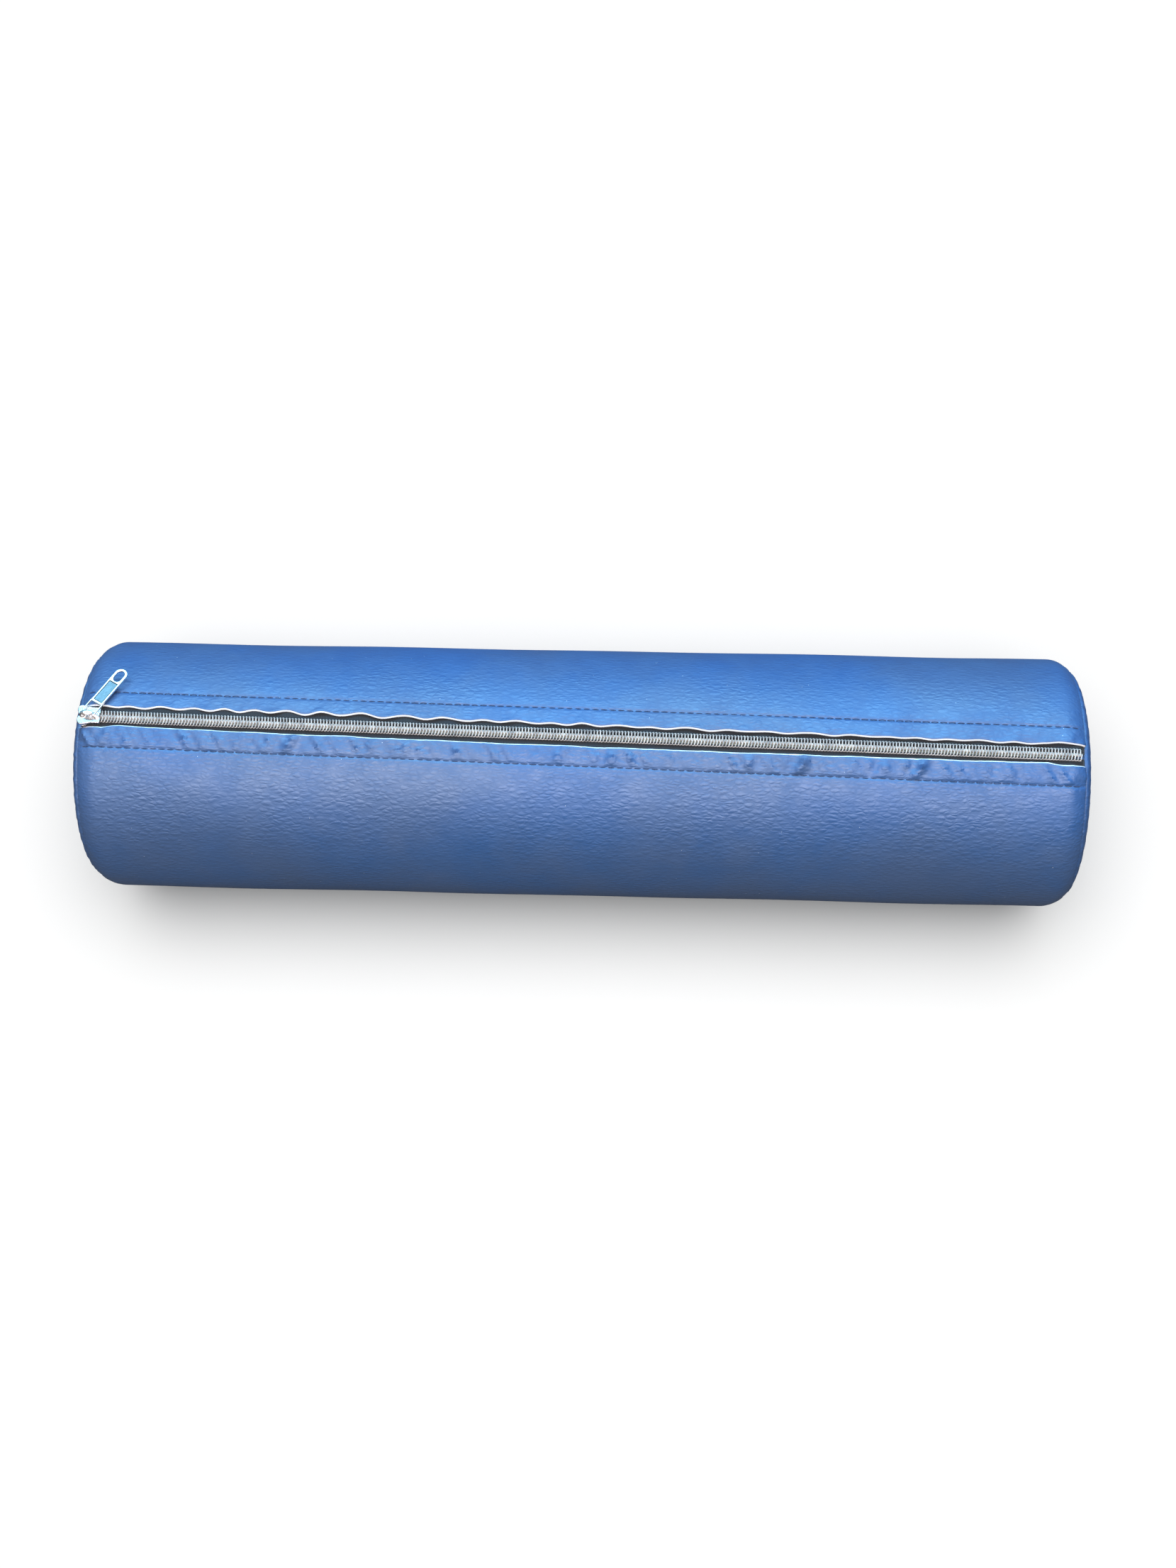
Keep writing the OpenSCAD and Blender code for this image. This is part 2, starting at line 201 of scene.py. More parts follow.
# %% [markdown]
# ## Where the cover's surface is
# The zip runs slightly askew, so places on the cover are given by a station along the bolster and
# an arc from the zip's centre line, positive to the rear. The cover is straight, then turns in round
# a soft edge at each end, and it is flattened where it rests. The stitches could be projected onto
# the finished cover; with one formula for its surface, cover, thread and zip agree without that.

# %% Cover surface
def zip_turn(x):
    """The angle of the zip's centre line round the bolster at a station."""
    return np.arcsin(np.clip(x * ZIP_SLOPE / COVER_R, -1, 1))


def edge_fall(x):
    """How far the cover has turned in by a station."""
    past = np.clip(np.abs(x) - STRAIGHT_X, 0, EDGE_R * math.sin(RIM_TURN))
    return EDGE_R - np.sqrt(EDGE_R**2 - past**2)


def place(x, turn, radius):
    """Points of the row frame from a station, an angle round the bolster and a radius."""
    x, turn, radius = np.broadcast_arrays(x, turn, radius)
    z = np.maximum(AXIS_Z + radius * np.cos(turn), COVER_R - radius)
    return np.stack([x, radius * np.sin(turn), z], axis=-1)


def on_cover(x, arc_to, lift):
    """Points over the cover from stations, arcs from the zip and heights over the bare cylinder."""
    return place(x, zip_turn(x) + arc_to / COVER_R, COVER_R - edge_fall(x) + lift)


# %% [markdown]
# ## The tube panel
# The leatherette is one sheet with raw-cut long edges. A soft vinyl with a thick backing doesn't fray:
# its edge ripples where the zip's stitching has eased it, and the white backing shows on the cut.
# The strip between edge and stitching puckers. Cloth simulation would lose this fine edge to its
# voxels, so the ripples, the stitch groove and the puckers are worked out as heights over the sheet.

# %% Heights of the sheet over the bare cylinder
BEVEL = 0.9 * MM
STITCH = 5 * MM
# millimetres that a pucker may sink before it would meet the tape below
DEEPEST = 0.6


def hem_height(x, d, row, seed, pucker, curl):
    """Height of the sheet at distances d from the raw edge and row past the stitching.

    The terms are in millimetres: a lip that curls up, puckers, and a groove that the thread pulls in."""
    in_hem = np.clip(d / (d - row), 0, 1)
    swell = np.sin(math.pi * in_hem) ** 0.7
    fold = wander(x + 0.5 * d, 14 * MM, seed + 1) * wander(x, 60 * MM, seed + 4)
    dimple = wander(x - 0.6 * d, 7.5 * MM, seed + 2)
    small = np.sin(x / (1.1 * MM) + 3 * np.sin(d / (1.6 * MM) + x / (5 * MM)))
    lip = np.exp(-((d / (3.2 * MM)) ** 2)) * curl * (0.4 + 0.6 * wander(x, 23 * MM, seed))
    body = swell * (pucker * (0.15 + fold + 0.6 * dimple) + 0.05 * small)
    body = np.where(body < 0, DEEPEST * np.tanh(body / DEEPEST), body)
    tick = 0.5 + 0.5 * np.cos(2 * math.pi * x / STITCH)
    groove = np.exp(-((row / (0.7 * MM)) ** 2)) * (0.45 + 0.25 * tick)
    pull_in = np.exp(-((row / (3.2 * MM)) ** 2)) * 0.25
    beyond = np.exp(-(((row - 3.6 * MM) / (2.4 * MM)) ** 2)) * 0.12 * dimple
    return MM * (lip + body - groove - pull_in + beyond)


def body_height(x, turn):
    """The slow unevenness of a stuffed tube, and the gathers beside each end seam."""
    slow = 0.22 * np.sin(x / 0.047 + 2 * turn) * np.sin(3 * turn + x / 0.11)
    slow = slow + 0.16 * np.sin(x / 0.021 + 5 * turn + 1.3)
    near = np.clip((np.abs(x) - (SEAM_X - 16 * MM)) / (16 * MM), 0, 1) ** 2
    gather = np.sin(turn * 43 + 2 * np.sin(turn * 7)) + 0.6 * np.sin(turn * 71 + 1)
    return MM * (slow + 0.26 * near * gather)


def room_for_slider(x):
    """The slider spreads the raw edges where it parks at either end."""
    return 1.25 * MM * np.clip((np.abs(x) - SEAM_X + 22 * MM) / (7 * MM), 0, 1)


def rear_edge(x):
    """Arc from the zip to the rear raw edge: scalloped, and drawn in to the chain at each end."""
    free = np.clip((SEAM_X - np.abs(x)) / (45 * MM), 0, 1) ** 0.7
    far = np.clip(0.5 + 0.5 * x / SEAM_X, 0, 1)
    swing = np.sin(2 * math.pi * x / (21 * MM) + 1.6 * np.sin(x / (33 * MM)) + 0.4)
    strong = np.exp(-(((x + 150 * MM) / (90 * MM)) ** 2))
    ripple = (0.35 + 0.75 * strong) * swing + 0.3 * wander(x, 34 * MM, 3)
    return MM * (4.9 + free * (1.55 + 0.5 * strong - 0.9 * far + ripple)) + room_for_slider(x)


def front_edge(x):
    """Arc from the zip to the front raw edge: nearly straight, close to the chain at the slider's end."""
    far = np.clip(0.5 + 0.5 * x / SEAM_X, 0, 1)
    bow = 1.9 * np.sin(math.pi * far) ** 0.7
    waver = 0.2 * wander(x, 44 * MM, 5) + 0.06 * wander(x, 5 * MM, 6)
    return MM * (4.7 + bow + waver) + room_for_slider(x)


# %% Stations along the panel, and its outline round each end
ROLL_R = 1.15 * MM
# distances from a raw edge: close together over the bevelled cut, wider over the hem, then the rest
CUT_STEP, HEM_STEP = 0.32 * MM, 0.62 * MM
HEM_BAND = 17.4 * MM
HEM_REACH = 40 * MM


def panel_outline():
    """Stations of the panel from end to end: x, radius, and the direction that its face looks."""
    straight = np.linspace(-STRAIGHT_X, STRAIGHT_X, 251)
    middle = [(x, COVER_R, 0.0) for x in straight]
    end = []
    for a in np.linspace(0, TUBE_TURN, 8)[1:]:
        end.append((STRAIGHT_X + EDGE_R * math.sin(a), COVER_R - EDGE_R * (1 - math.cos(a)), a))
    x0, r0, a0 = end[-1]
    roll_x, roll_r = x0 - ROLL_R * math.sin(a0), r0 - ROLL_R * math.cos(a0)
    for a in np.linspace(a0, math.pi, 8)[1:]:
        end.append((roll_x + ROLL_R * math.sin(a), roll_r + ROLL_R * math.cos(a), a))
    for back in (0.35, 1):
        end.append((roll_x - back * ALLOWANCE, roll_r - ROLL_R, math.pi))
    left = [(-x, r, -a) for x, r, a in reversed(end)]
    return np.array(left + middle + end)


def panel_columns():
    """Distances from a raw edge over its hem, and shares of the way round between the two hems."""
    near = np.concatenate([np.arange(4) * CUT_STEP, np.arange(1.5 * MM, HEM_BAND, HEM_STEP)])
    return near, np.linspace(0, 1, 74)[1:-1]


# %% Build the tube panel
def build_tube_panel():
    outline = panel_outline()
    near, middle = panel_columns()
    x, radius, look = outline[:, 0:1], outline[:, 1:2], outline[:, 2:3]
    rear = zip_turn(x) + rear_edge(x) / COVER_R
    front = zip_turn(x) - front_edge(x) / COVER_R + 2 * math.pi
    first, last = rear + near / COVER_R, front - near[::-1] / COVER_R
    between = first[:, -1:] + (last[:, :1] - first[:, -1:]) * middle
    turn = np.concatenate([first, between, last], axis=1)
    d_rear, d_front = (turn - rear) * COVER_R, (front - turn) * COVER_R
    row_rear = (turn - zip_turn(x)) * COVER_R - SLOT_HALF - REAR_HEM
    row_front = (zip_turn(x) + 2 * math.pi - turn) * COVER_R - SLOT_HALF - FRONT_HEM
    outside = np.clip(np.cos(look), 0, 1)
    height = hem_height(x, d_rear, row_rear, 11, 0.3, 0.9) * (d_rear < HEM_REACH)
    height = height + hem_height(x, d_front, row_front, 31, 1.5, 0.3) * (d_front < HEM_REACH)
    height = (height + body_height(x, turn)) * outside
    cut = np.minimum(d_rear, d_front)
    bevel = np.clip(1 - cut / BEVEL, 0, 1) * 0.8 * COVER_T
    grow = height - bevel
    face = place(x + grow * np.sin(look), turn, radius + grow * np.cos(look))
    deep = height - COVER_T
    back = place(x + deep * np.sin(look), turn, radius + deep * np.cos(look))
    return cloth_shell("cover_tube_panel", face, back, rim=2)


tube_panel = build_tube_panel()
print("tube panel faces:", len(tube_panel.data.polygons))

# %% [markdown]
# ## The end panels
# Each end is a disc of the same leatherette. Sewn in under tension it domes, its rim carries the soft
# edge on past the seam, and the rim then dives into the seam, where it gathers into fine ripples.
# A flat disc could be blown up by simulation; an outline turned round the bolster's axis domes as
# well, and its rim ends exactly in the seam.

# %% Build the end panels
DISC_COLUMNS = 168
DIVE_R = 2 * MM


def disc_outline():
    """Stations of the disc from its centre to the end of its turned-in rim."""
    edge_x, edge_r = STRAIGHT_X + EDGE_R * math.sin(RIM_TURN), COVER_R - EDGE_R * (1 - math.cos(RIM_TURN))
    bulge = END_X - edge_x
    sphere = (edge_r**2 + bulge**2) / (2 * bulge)
    spread = math.asin(edge_r / sphere)
    rows = [(END_X - sphere * (1 - math.cos(a)), sphere * math.sin(a), math.pi / 2 - a)
            for a in np.linspace(0, spread, 34)]
    turn_in = math.acos(1 - (COVER_R - LIP_R + 0.6 * MM) / EDGE_R)
    for a in np.linspace(RIM_TURN, turn_in, 12)[1:]:
        rows.append((STRAIGHT_X + EDGE_R * math.sin(a), COVER_R - EDGE_R * (1 - math.cos(a)), a))
    x0, r0, a0 = rows[-1]
    for a in np.linspace(a0, 0, 8)[1:]:
        x, r = x0 + DIVE_R * (math.sin(a) - math.sin(a0)), r0 + DIVE_R * (math.cos(a) - math.cos(a0))
        rows.append((x, r, a))
    rows.append((SEAM_X - ALLOWANCE, rows[-1][1], 0.0))
    return np.array(rows)


def build_end_panel(name, end, seed):
    """The left end panel for end -1, the right one for 1; seed shifts its ripples."""
    outline = disc_outline()
    turn = np.arange(DISC_COLUMNS) * 2 * math.pi / DISC_COLUMNS
    x, radius, look = outline[:, 0:1], outline[:, 1:2], outline[:, 2:3]
    near = np.clip((radius - 52 * MM) / (16 * MM), 0, 1) ** 2 * (x > SEAM_X)
    gather = np.sin(turn * 47 + 2 * np.sin(turn * 6 + seed)) + 0.6 * np.sin(turn * 83 + seed)
    slow = np.sin(turn * 2 + seed) * np.sin(radius / (17 * MM)) * (radius / COVER_R)
    height = MM * (0.24 * near * gather + 0.35 * slow * (x > SEAM_X))

    def side(lift):
        out = radius + lift * np.cos(look)
        station = end * (x + lift * np.sin(look))
        y, z = out * np.sin(turn), AXIS_Z + out * np.cos(turn)
        return np.stack(np.broadcast_arrays(station, y, z), axis=-1)

    return cloth_shell(name, side(height), side(height - COVER_T), ring=True)


left_end = build_end_panel("cover_left_end", -1, 1.0)
right_end = build_end_panel("cover_right_end", 1, 2.6)
print("end panel faces:", len(right_end.data.polygons))

# %% [markdown]
# ## The foam core
# The core is cut from polyurethane foam, with its end edges softened so that the seam allowances
# have room. It is out of sight, and it is still shaped and finished as foam for whoever opens the zip.
# A bevelled cylinder would be quicker. A turned outline also gives the core its flat underside and
# the shallow trough that leaves room for the back of the zip.

# %% Build the foam core
CORE_EDGE_R = 26 * MM
CORE_COLUMNS = 96
TROUGH_HALF, TROUGH_DEPTH = 6 * MM, 1.4 * MM


def build_foam_core():
    lo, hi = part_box("foam_core")
    core_r, soft = (hi.y - lo.y) / 2, CORE_EDGE_R
    start = [(-hi.x, 0.0), (-hi.x, (core_r - soft) / 2)]
    for a in np.linspace(0, math.pi / 2, 10):
        start.append((-hi.x + soft * (1 - math.cos(a)), core_r - soft + soft * math.sin(a)))
    rows = start + [(x, core_r) for x in np.linspace(-hi.x + soft, hi.x - soft, 40)[1:-1]]
    rows += [(-x, r) for x, r in reversed(start)]
    outline = np.array(rows)
    turn = np.arange(CORE_COLUMNS) * 2 * math.pi / CORE_COLUMNS
    x, radius = outline[:, 0:1], outline[:, 1:2]
    z = np.clip(AXIS_Z + radius * np.cos(turn), lo.z, hi.z)
    y = radius * np.sin(turn)
    trough = np.abs(y - x * ZIP_SLOPE) < TROUGH_HALF
    z = np.where(trough, np.minimum(z, hi.z - TROUGH_DEPTH), z)
    points = np.stack(np.broadcast_arrays(x, y, z), axis=-1)
    return new_piece("core_foam", points, grid_faces(len(outline), CORE_COLUMNS, ring=True))


foam_core = build_foam_core()
print("foam core faces:", len(foam_core.data.polygons))

# %% [markdown]
# ## Stitches
# A lockstitch shows as short straight dashes that dive into the cloth between stitches. It could be
# drawn in the material, but drawn thread throws no shadow. Each dash is its own length of thread
# here: it rises out of its needle hole, lies along the groove and goes down again.

# %% Stitch the zip in and the ends on
END_STITCHES = 83
ZIP_THREAD_R, END_THREAD_R = 0.25 * MM, 0.22 * MM


def zip_stitches(side):
    """Dashes along one side of the zip, each sunk at both ends."""
    row = SLOT_HALF + (REAR_HEM if side > 0 else FRONT_HEM)
    half = 0.41 * STITCH
    rise = np.sin(math.pi * np.linspace(0, 1, 7)) ** 0.5
    paths = []
    for x0 in np.arange(-SEAM_X + 5 * MM, SEAM_X - 4 * MM, STITCH):
        x = np.linspace(x0 - half, x0 + half, 7)
        arc_to = side * (row + rng.normal(0, 0.06) * MM)
        paths.append(on_cover(x, arc_to, (-0.95 + 0.62 * rise) * MM))
    return paths


def end_stitches(end):
    """Dashes round the seam of one end, each sunk at both ends."""
    rise = np.sin(math.pi * np.linspace(0, 1, 6))
    out = SEAM_X + (-0.9 + 0.55 * rise) * MM
    radius = LIP_R + (0.25 + 0.1 * rise) * MM
    paths = []
    for i in range(END_STITCHES):
        turn = (i + np.linspace(-0.36, 0.36, 6)) * 2 * math.pi / END_STITCHES
        paths.append(np.stack([end * out, radius * np.sin(turn), AXIS_Z + radius * np.cos(turn)], axis=-1))
    return paths


rear_stitching = threads("stitching_rear_of_zip", zip_stitches(1), ZIP_THREAD_R)
front_stitching = threads("stitching_front_of_zip", zip_stitches(-1), ZIP_THREAD_R)
left_seam = threads("seam_thread_left_end", end_stitches(-1), END_THREAD_R)
right_seam = threads("seam_thread_right_end", end_stitches(1), END_THREAD_R)
print("faces in a row of stitches:", len(rear_stitching.data.polygons))

# %% [markdown]
# ## The zip
# A coil zip is two woven tapes, each with a spiral of stiff monofilament sewn to its edge. Every turn
# has a bulging head at the middle of the zip, and the heads of the two spirals hook past each other.
# One turn repeated by an Array modifier would do for a straight strip. The spirals are real here, one
# swept path per side at the true pitch, half a pitch apart, so they can dip into the end seam and
# swell at each head.

# %% How the zip lies: flat along the top, then down round the soft edge into the end seam
def zip_fall(x):
    """How far the tape drops below its flat line near the far end, where the slider isn't parked."""
    past = np.clip(x - STRAIGHT_X - 3.5 * MM, 0, EDGE_R * math.sin(TUBE_TURN))
    return EDGE_R - np.sqrt(EDGE_R**2 - past**2)


def in_zip(x, y, z):
    """Points of the row frame from zip coordinates: along, across, and up from the tape's top."""
    x, y, z = np.broadcast_arrays(x, y, z)
    c, s = ZIP_DIR.x, ZIP_DIR.y
    return np.stack([x * c - y * s, x * s + y * c, TAPE_TOP + z - zip_fall(x)], axis=-1)


# %% Weave the tapes
TAPE_T = 0.5 * MM
UNDER_COVER = 1.35 * MM


def build_tape(name, side):
    """A tape from the coil's edge outwards, flat in the slot and then bent down under the cover."""
    x = np.linspace(-SEAM_X + 0.6 * MM, SEAM_X - 0.2 * MM, 260)[:, None]
    y = side * np.concatenate([np.linspace(1.75, 9, 12), np.linspace(10, TAPE_HALF / MM, 8)])[None, :] * MM
    flat = in_zip(x, y, 0.0)
    inner_r = COVER_R - UNDER_COVER - edge_fall(flat[..., 0])
    under = AXIS_Z + np.sqrt(np.maximum(inner_r**2 - flat[..., 1] ** 2, 0))
    wave = 0.06 * MM * wander(x, 17 * MM, 40 + side) * np.clip((np.abs(y) - 4 * MM) / (2 * MM), 0, 1)
    face = flat.copy()
    face[..., 2] = np.minimum(flat[..., 2] + wave, under)
    back = face.copy()
    back[..., 2] -= TAPE_T
    return cloth_shell(name, face, back, backed=False)


rear_tape = build_tape("zip_tape_rear", 1)
front_tape = build_tape("zip_tape_front", -1)
print("tape faces:", len(rear_tape.data.polygons))

# %% Wind the two coils
TOOTH_PITCH = 1.8 * MM
WIRE_R = 0.34 * MM


def coil_path(side):
    """One spiral: out over the top to the head, back underneath, and up round the outside."""
    start, stop = coil_lo.x / ZIP_DIR.x, SEAM_X - 0.4 * MM
    turns = int((stop - start) / TOOTH_PITCH) - 1
    top, low = CHAIN_H - WIRE_R, WIRE_R + 0.05 * MM
    middle = (top + low) / 2
    slant = 0.0 if side > 0 else -0.42
    loop = np.array([
        # along in pitches, across in mm, height
        (slant - 0.3, 3.3, middle), (slant - 0.06, 3.18, top - 0.12 * MM), (slant, 2.7, top),
        (slant / 2, 1.3, top), (0.0, 0.1, top), (0.0, -0.42, top - 0.12 * MM), (0.0, -0.62, middle),
        (0.0, -0.42, low + 0.12 * MM), (0.0, 0.1, low), (slant / 2, 1.4, low), (slant, 2.7, low),
        (slant + 0.24, 3.18, low + 0.2 * MM)])
    shift = 0.25 if side > 0 else 0.75
    turn = np.arange(turns)[:, None]
    x = start + (turn + shift + 0.15 + loop[None, :, 0]) * TOOTH_PITCH
    jitter = rng.normal(0, 0.012, turns)[:, None] * TOOTH_PITCH
    y = np.broadcast_to(side * loop[None, :, 1] * MM, x.shape)
    z = np.broadcast_to(loop[None, :, 2], x.shape)
    return in_zip((x + jitter).ravel(), y.ravel(), z.ravel())


def build_coil(name, side):
    """A coil whose wire is thickest at the head of each turn."""
    path = coil_path(side)
    swell = [1, 1, 1, 1, 1.05, 1.18, 1.25, 1.18, 1.0, 0.95, 0.95, 1]
    points, faces = sweep(path, WIRE_R * np.tile(swell, len(path) // len(swell)), 8)
    return new_piece(name, points, faces)


rear_coil = build_coil("zip_coil_rear", 1)
front_coil = build_coil("zip_coil_front", -1)
print("coil faces:", len(rear_coil.data.polygons))

# %% Lay the cord inside each coil and the thread over it
def along_coil(name, side, across, height, radius, weave=0.0):
    """A cord or thread along one coil; weave is how far it rises and falls over each tooth."""
    x = np.arange(coil_lo.x / ZIP_DIR.x + 0.2 * MM, SEAM_X - 1.2 * MM, TOOTH_PITCH / 4)
    up = weave * np.cos(2 * math.pi * x / TOOTH_PITCH)
    return threads(name, [in_zip(x, side * across, height + up)], radius)


cord = (2.45 * MM, CHAIN_H / 2, 0.34 * MM)
over_thread = (2.75 * MM, CHAIN_H - 0.2 * MM, 0.13 * MM, 0.2 * MM)
rear_cord = along_coil("zip_cord_rear", 1, *cord)
front_cord = along_coil("zip_cord_front", -1, *cord)
rear_thread = along_coil("zip_thread_rear", 1, *over_thread)
front_thread = along_coil("zip_thread_front", -1, *over_thread)
print("cord faces:", len(rear_cord.data.polygons))

# %% [markdown]
# ## The slider and its pull
# Both are zinc castings with soft edges. Boxes joined by Boolean modifiers would leave hard corners
# where the shapes meet. Flat outlines are cut as filled curves here, stacked with round lumps for the
# bridge, and melted into one skin by a voxel remesh, which is how a casting looks. They are drawn in
# millimetres in their own frames and scaled to metres when they are put in place.

# %% Casting tools
def plate(outlines, z0, z1, soft):
    """A flat plate with holes: the first outline is its rim and the others are cut out of it."""
    curve = bpy.data.curves.new("outline", "CURVE")
    curve.dimensions = "2D"
    curve.fill_mode = "BOTH"
    curve.extrude = (z1 - z0) / 2 - soft
    curve.bevel_depth = soft
    curve.bevel_resolution = 2
    curve.offset = -soft
    for outline in outlines:
        spline = curve.splines.new("POLY")
        spline.points.add(len(outline) - 1)
        for point, (x, y) in zip(spline.points, outline):
            point.co = (x, y, 0, 1)
        spline.use_cyclic_u = True
    holder = bpy.data.objects.new("outline", curve)
    bpy.context.scene.collection.objects.link(holder)
    bpy.context.view_layer.update()
    mesh = bpy.data.meshes.new_from_object(holder)
    mesh.transform(Matrix.Translation((0, 0, (z0 + z1) / 2)))
    bpy.data.objects.remove(holder)
    bpy.data.curves.remove(curve)
    return mesh


def lump(centre, radii):
    """An ellipsoid, for the round parts of a casting."""
    shape = bmesh.new()
    bmesh.ops.create_uvsphere(shape, u_segments=24, v_segments=12, radius=1)
    mesh = bpy.data.meshes.new("lump")
    shape.to_mesh(mesh)
    shape.free()
    mesh.transform(Matrix.Translation(centre) @ Matrix.Diagonal((*radii, 1)))
    return mesh


def arc(cx, cy, r, a0, a1, steps):
    """Points along a round stretch of an outline, with angles in degrees."""
    return [(cx + r * math.cos(math.radians(a)), cy + r * math.sin(math.radians(a)))
            for a in np.linspace(a0, a1, steps)]


def cast(name, meshes, voxel, place_at, melt):
    """Melts closed meshes into one skin, smooths it, and puts it in place in metres."""
    skin = bmesh.new()
    for mesh in meshes:
        skin.from_mesh(mesh)
        bpy.data.meshes.remove(mesh)
    bmesh.ops.remove_doubles(skin, verts=skin.verts, dist=1e-4)
    mesh = bpy.data.meshes.new(name)
    skin.to_mesh(mesh)
    skin.free()
    rough = bpy.data.objects.new(name + "_rough", mesh)
    bpy.context.scene.collection.objects.link(rough)
    remesh = rough.modifiers.new("melt", "REMESH")
    remesh.mode = "VOXEL"
    remesh.voxel_size = voxel
    smooth = rough.modifiers.new("soften", "SMOOTH")
    smooth.iterations = melt
    smooth.factor = 0.5
    bpy.context.view_layer.update()
    done = bpy.data.meshes.new_from_object(rough.evaluated_get(bpy.context.evaluated_depsgraph_get()))
    bpy.data.objects.remove(rough)
    done.transform(place_at @ Matrix.Scale(MM, 4))
    done.polygons.foreach_set("use_smooth", [True] * len(done.polygons))
    piece = bpy.data.objects.new(name, done)
    bpy.context.scene.collection.objects.link(piece)
    done.name = name
    return piece


# %% Cast the slider
slider_lo, slider_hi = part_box("slider_body")
SLIDER_L = 13.5
SLIDER_X = (slider_lo.x + slider_hi.x) / 2 / ZIP_DIR.x
TAIL_HALF, NOSE_HALF = 4.7, 5.8
CHANNEL_HALF = 3.95
PLATE_Z = CHAIN_H / MM + 0.3
PLATE_TOP = PLATE_Z + 1.2
SOLE_Z = -1.8


def slider_outline(grow=0.0):
    """Plan of the slider: straight tail, round shoulders and a shallow notch at the nose."""
    nose, tail = -SLIDER_L / 2, SLIDER_L / 2
    upper = [(tail + grow, 0)] + arc(tail - 1, TAIL_HALF - 1, 1 + grow, 0, 90, 6)
    upper += [(1.4, TAIL_HALF + grow)]
    upper += arc(nose + 2.7, NOSE_HALF - 2.7, 2.7 + grow, 75, 200, 14)
    upper += [(nose + 0.9 - grow, 0.6)]
    lower = [(x, -y) for x, y in reversed(upper[1:])]
    return upper + lower


def build_slider():
    """Top plate, side walls, sole, post and bridge, melted into one casting."""
    meshes = [plate([slider_outline()], PLATE_Z, PLATE_TOP, 0.28)]
    tail = SLIDER_L / 2 - 0.25
    for s in (1, -1):
        wall = [(tail, CHANNEL_HALF), (tail, TAIL_HALF - 0.05), (1.4, TAIL_HALF),
                (-3.4, NOSE_HALF - 0.05), (-5.4, NOSE_HALF - 0.6), (-5.4, NOSE_HALF - 1.1),
                (-3.4, CHANNEL_HALF + 1.1), (1.4, CHANNEL_HALF)]
        meshes.append(plate([[(x, s * y) for x, y in wall]], 0.3, PLATE_Z + 0.5, 0.1))
    sole = [(x, y) for x, y in slider_outline(-0.3) if x > -SLIDER_L / 2 + 1.5]
    meshes.append(plate([sole], SOLE_Z, SOLE_Z + 1, 0.2))
    post = arc(-4.75, 0, 1.15, 90, 270, 10) + arc(-3.95, 0, 1.15, -90, 90, 10)
    meshes.append(plate([post], SOLE_Z + 0.4, PLATE_Z + 0.5, 0.05))
    # the bridge: two feet that flare into the plate, and a lumpy crown over the window
    for s in (-1, 1):
        foot = [(s * 2.5, -0.68), (s * 2.5, 0.68), (s * 3.4, 0.68), (s * 3.4, -0.68)]
        meshes.append(plate([foot], PLATE_TOP - 0.4, PLATE_TOP + 3.7, 0.1))
        meshes.append(lump((s * 3.5, 0, PLATE_TOP), (1.75, 1.7, 0.95)))
    meshes.append(lump((-0.3, 0, PLATE_TOP + 3.95), (3.75, 1.55, 0.72)))
    meshes.append(lump((-1.2, 0, PLATE_TOP + 4.15), (1.7, 1.2, 0.7)))
    meshes.append(lump((4.9, 0, PLATE_TOP + 0.1), (1.6, 2.6, 0.55)))
    place_at = zip_frame @ Matrix.Translation((SLIDER_X, 0, 0))
    return cast("zip_slider", meshes, 0.16, place_at, 5)


slider = build_slider()
print("slider faces:", len(slider.data.polygons))

# %% Cast the pull
PULL_L, TAB_HALF, FOOT_HALF = 35, 4.0, 4.33
BAR_R, FOOT_R, FOOT_END = 0.5, 2.55, 2.0
LOOP_R, LOOP_HALF, LOOP_END = 1.3, 3.5, 8.0
HOLE_R, HOLE_STRETCH, HOLE_WALL = 2.4, 2.8, 1.6
PANEL_START, PANEL_WALL = 9.6, 1.15


def oblong(x0, x1, half):
    return [(x0, -half), (x1, -half), (x1, half), (x0, half)]


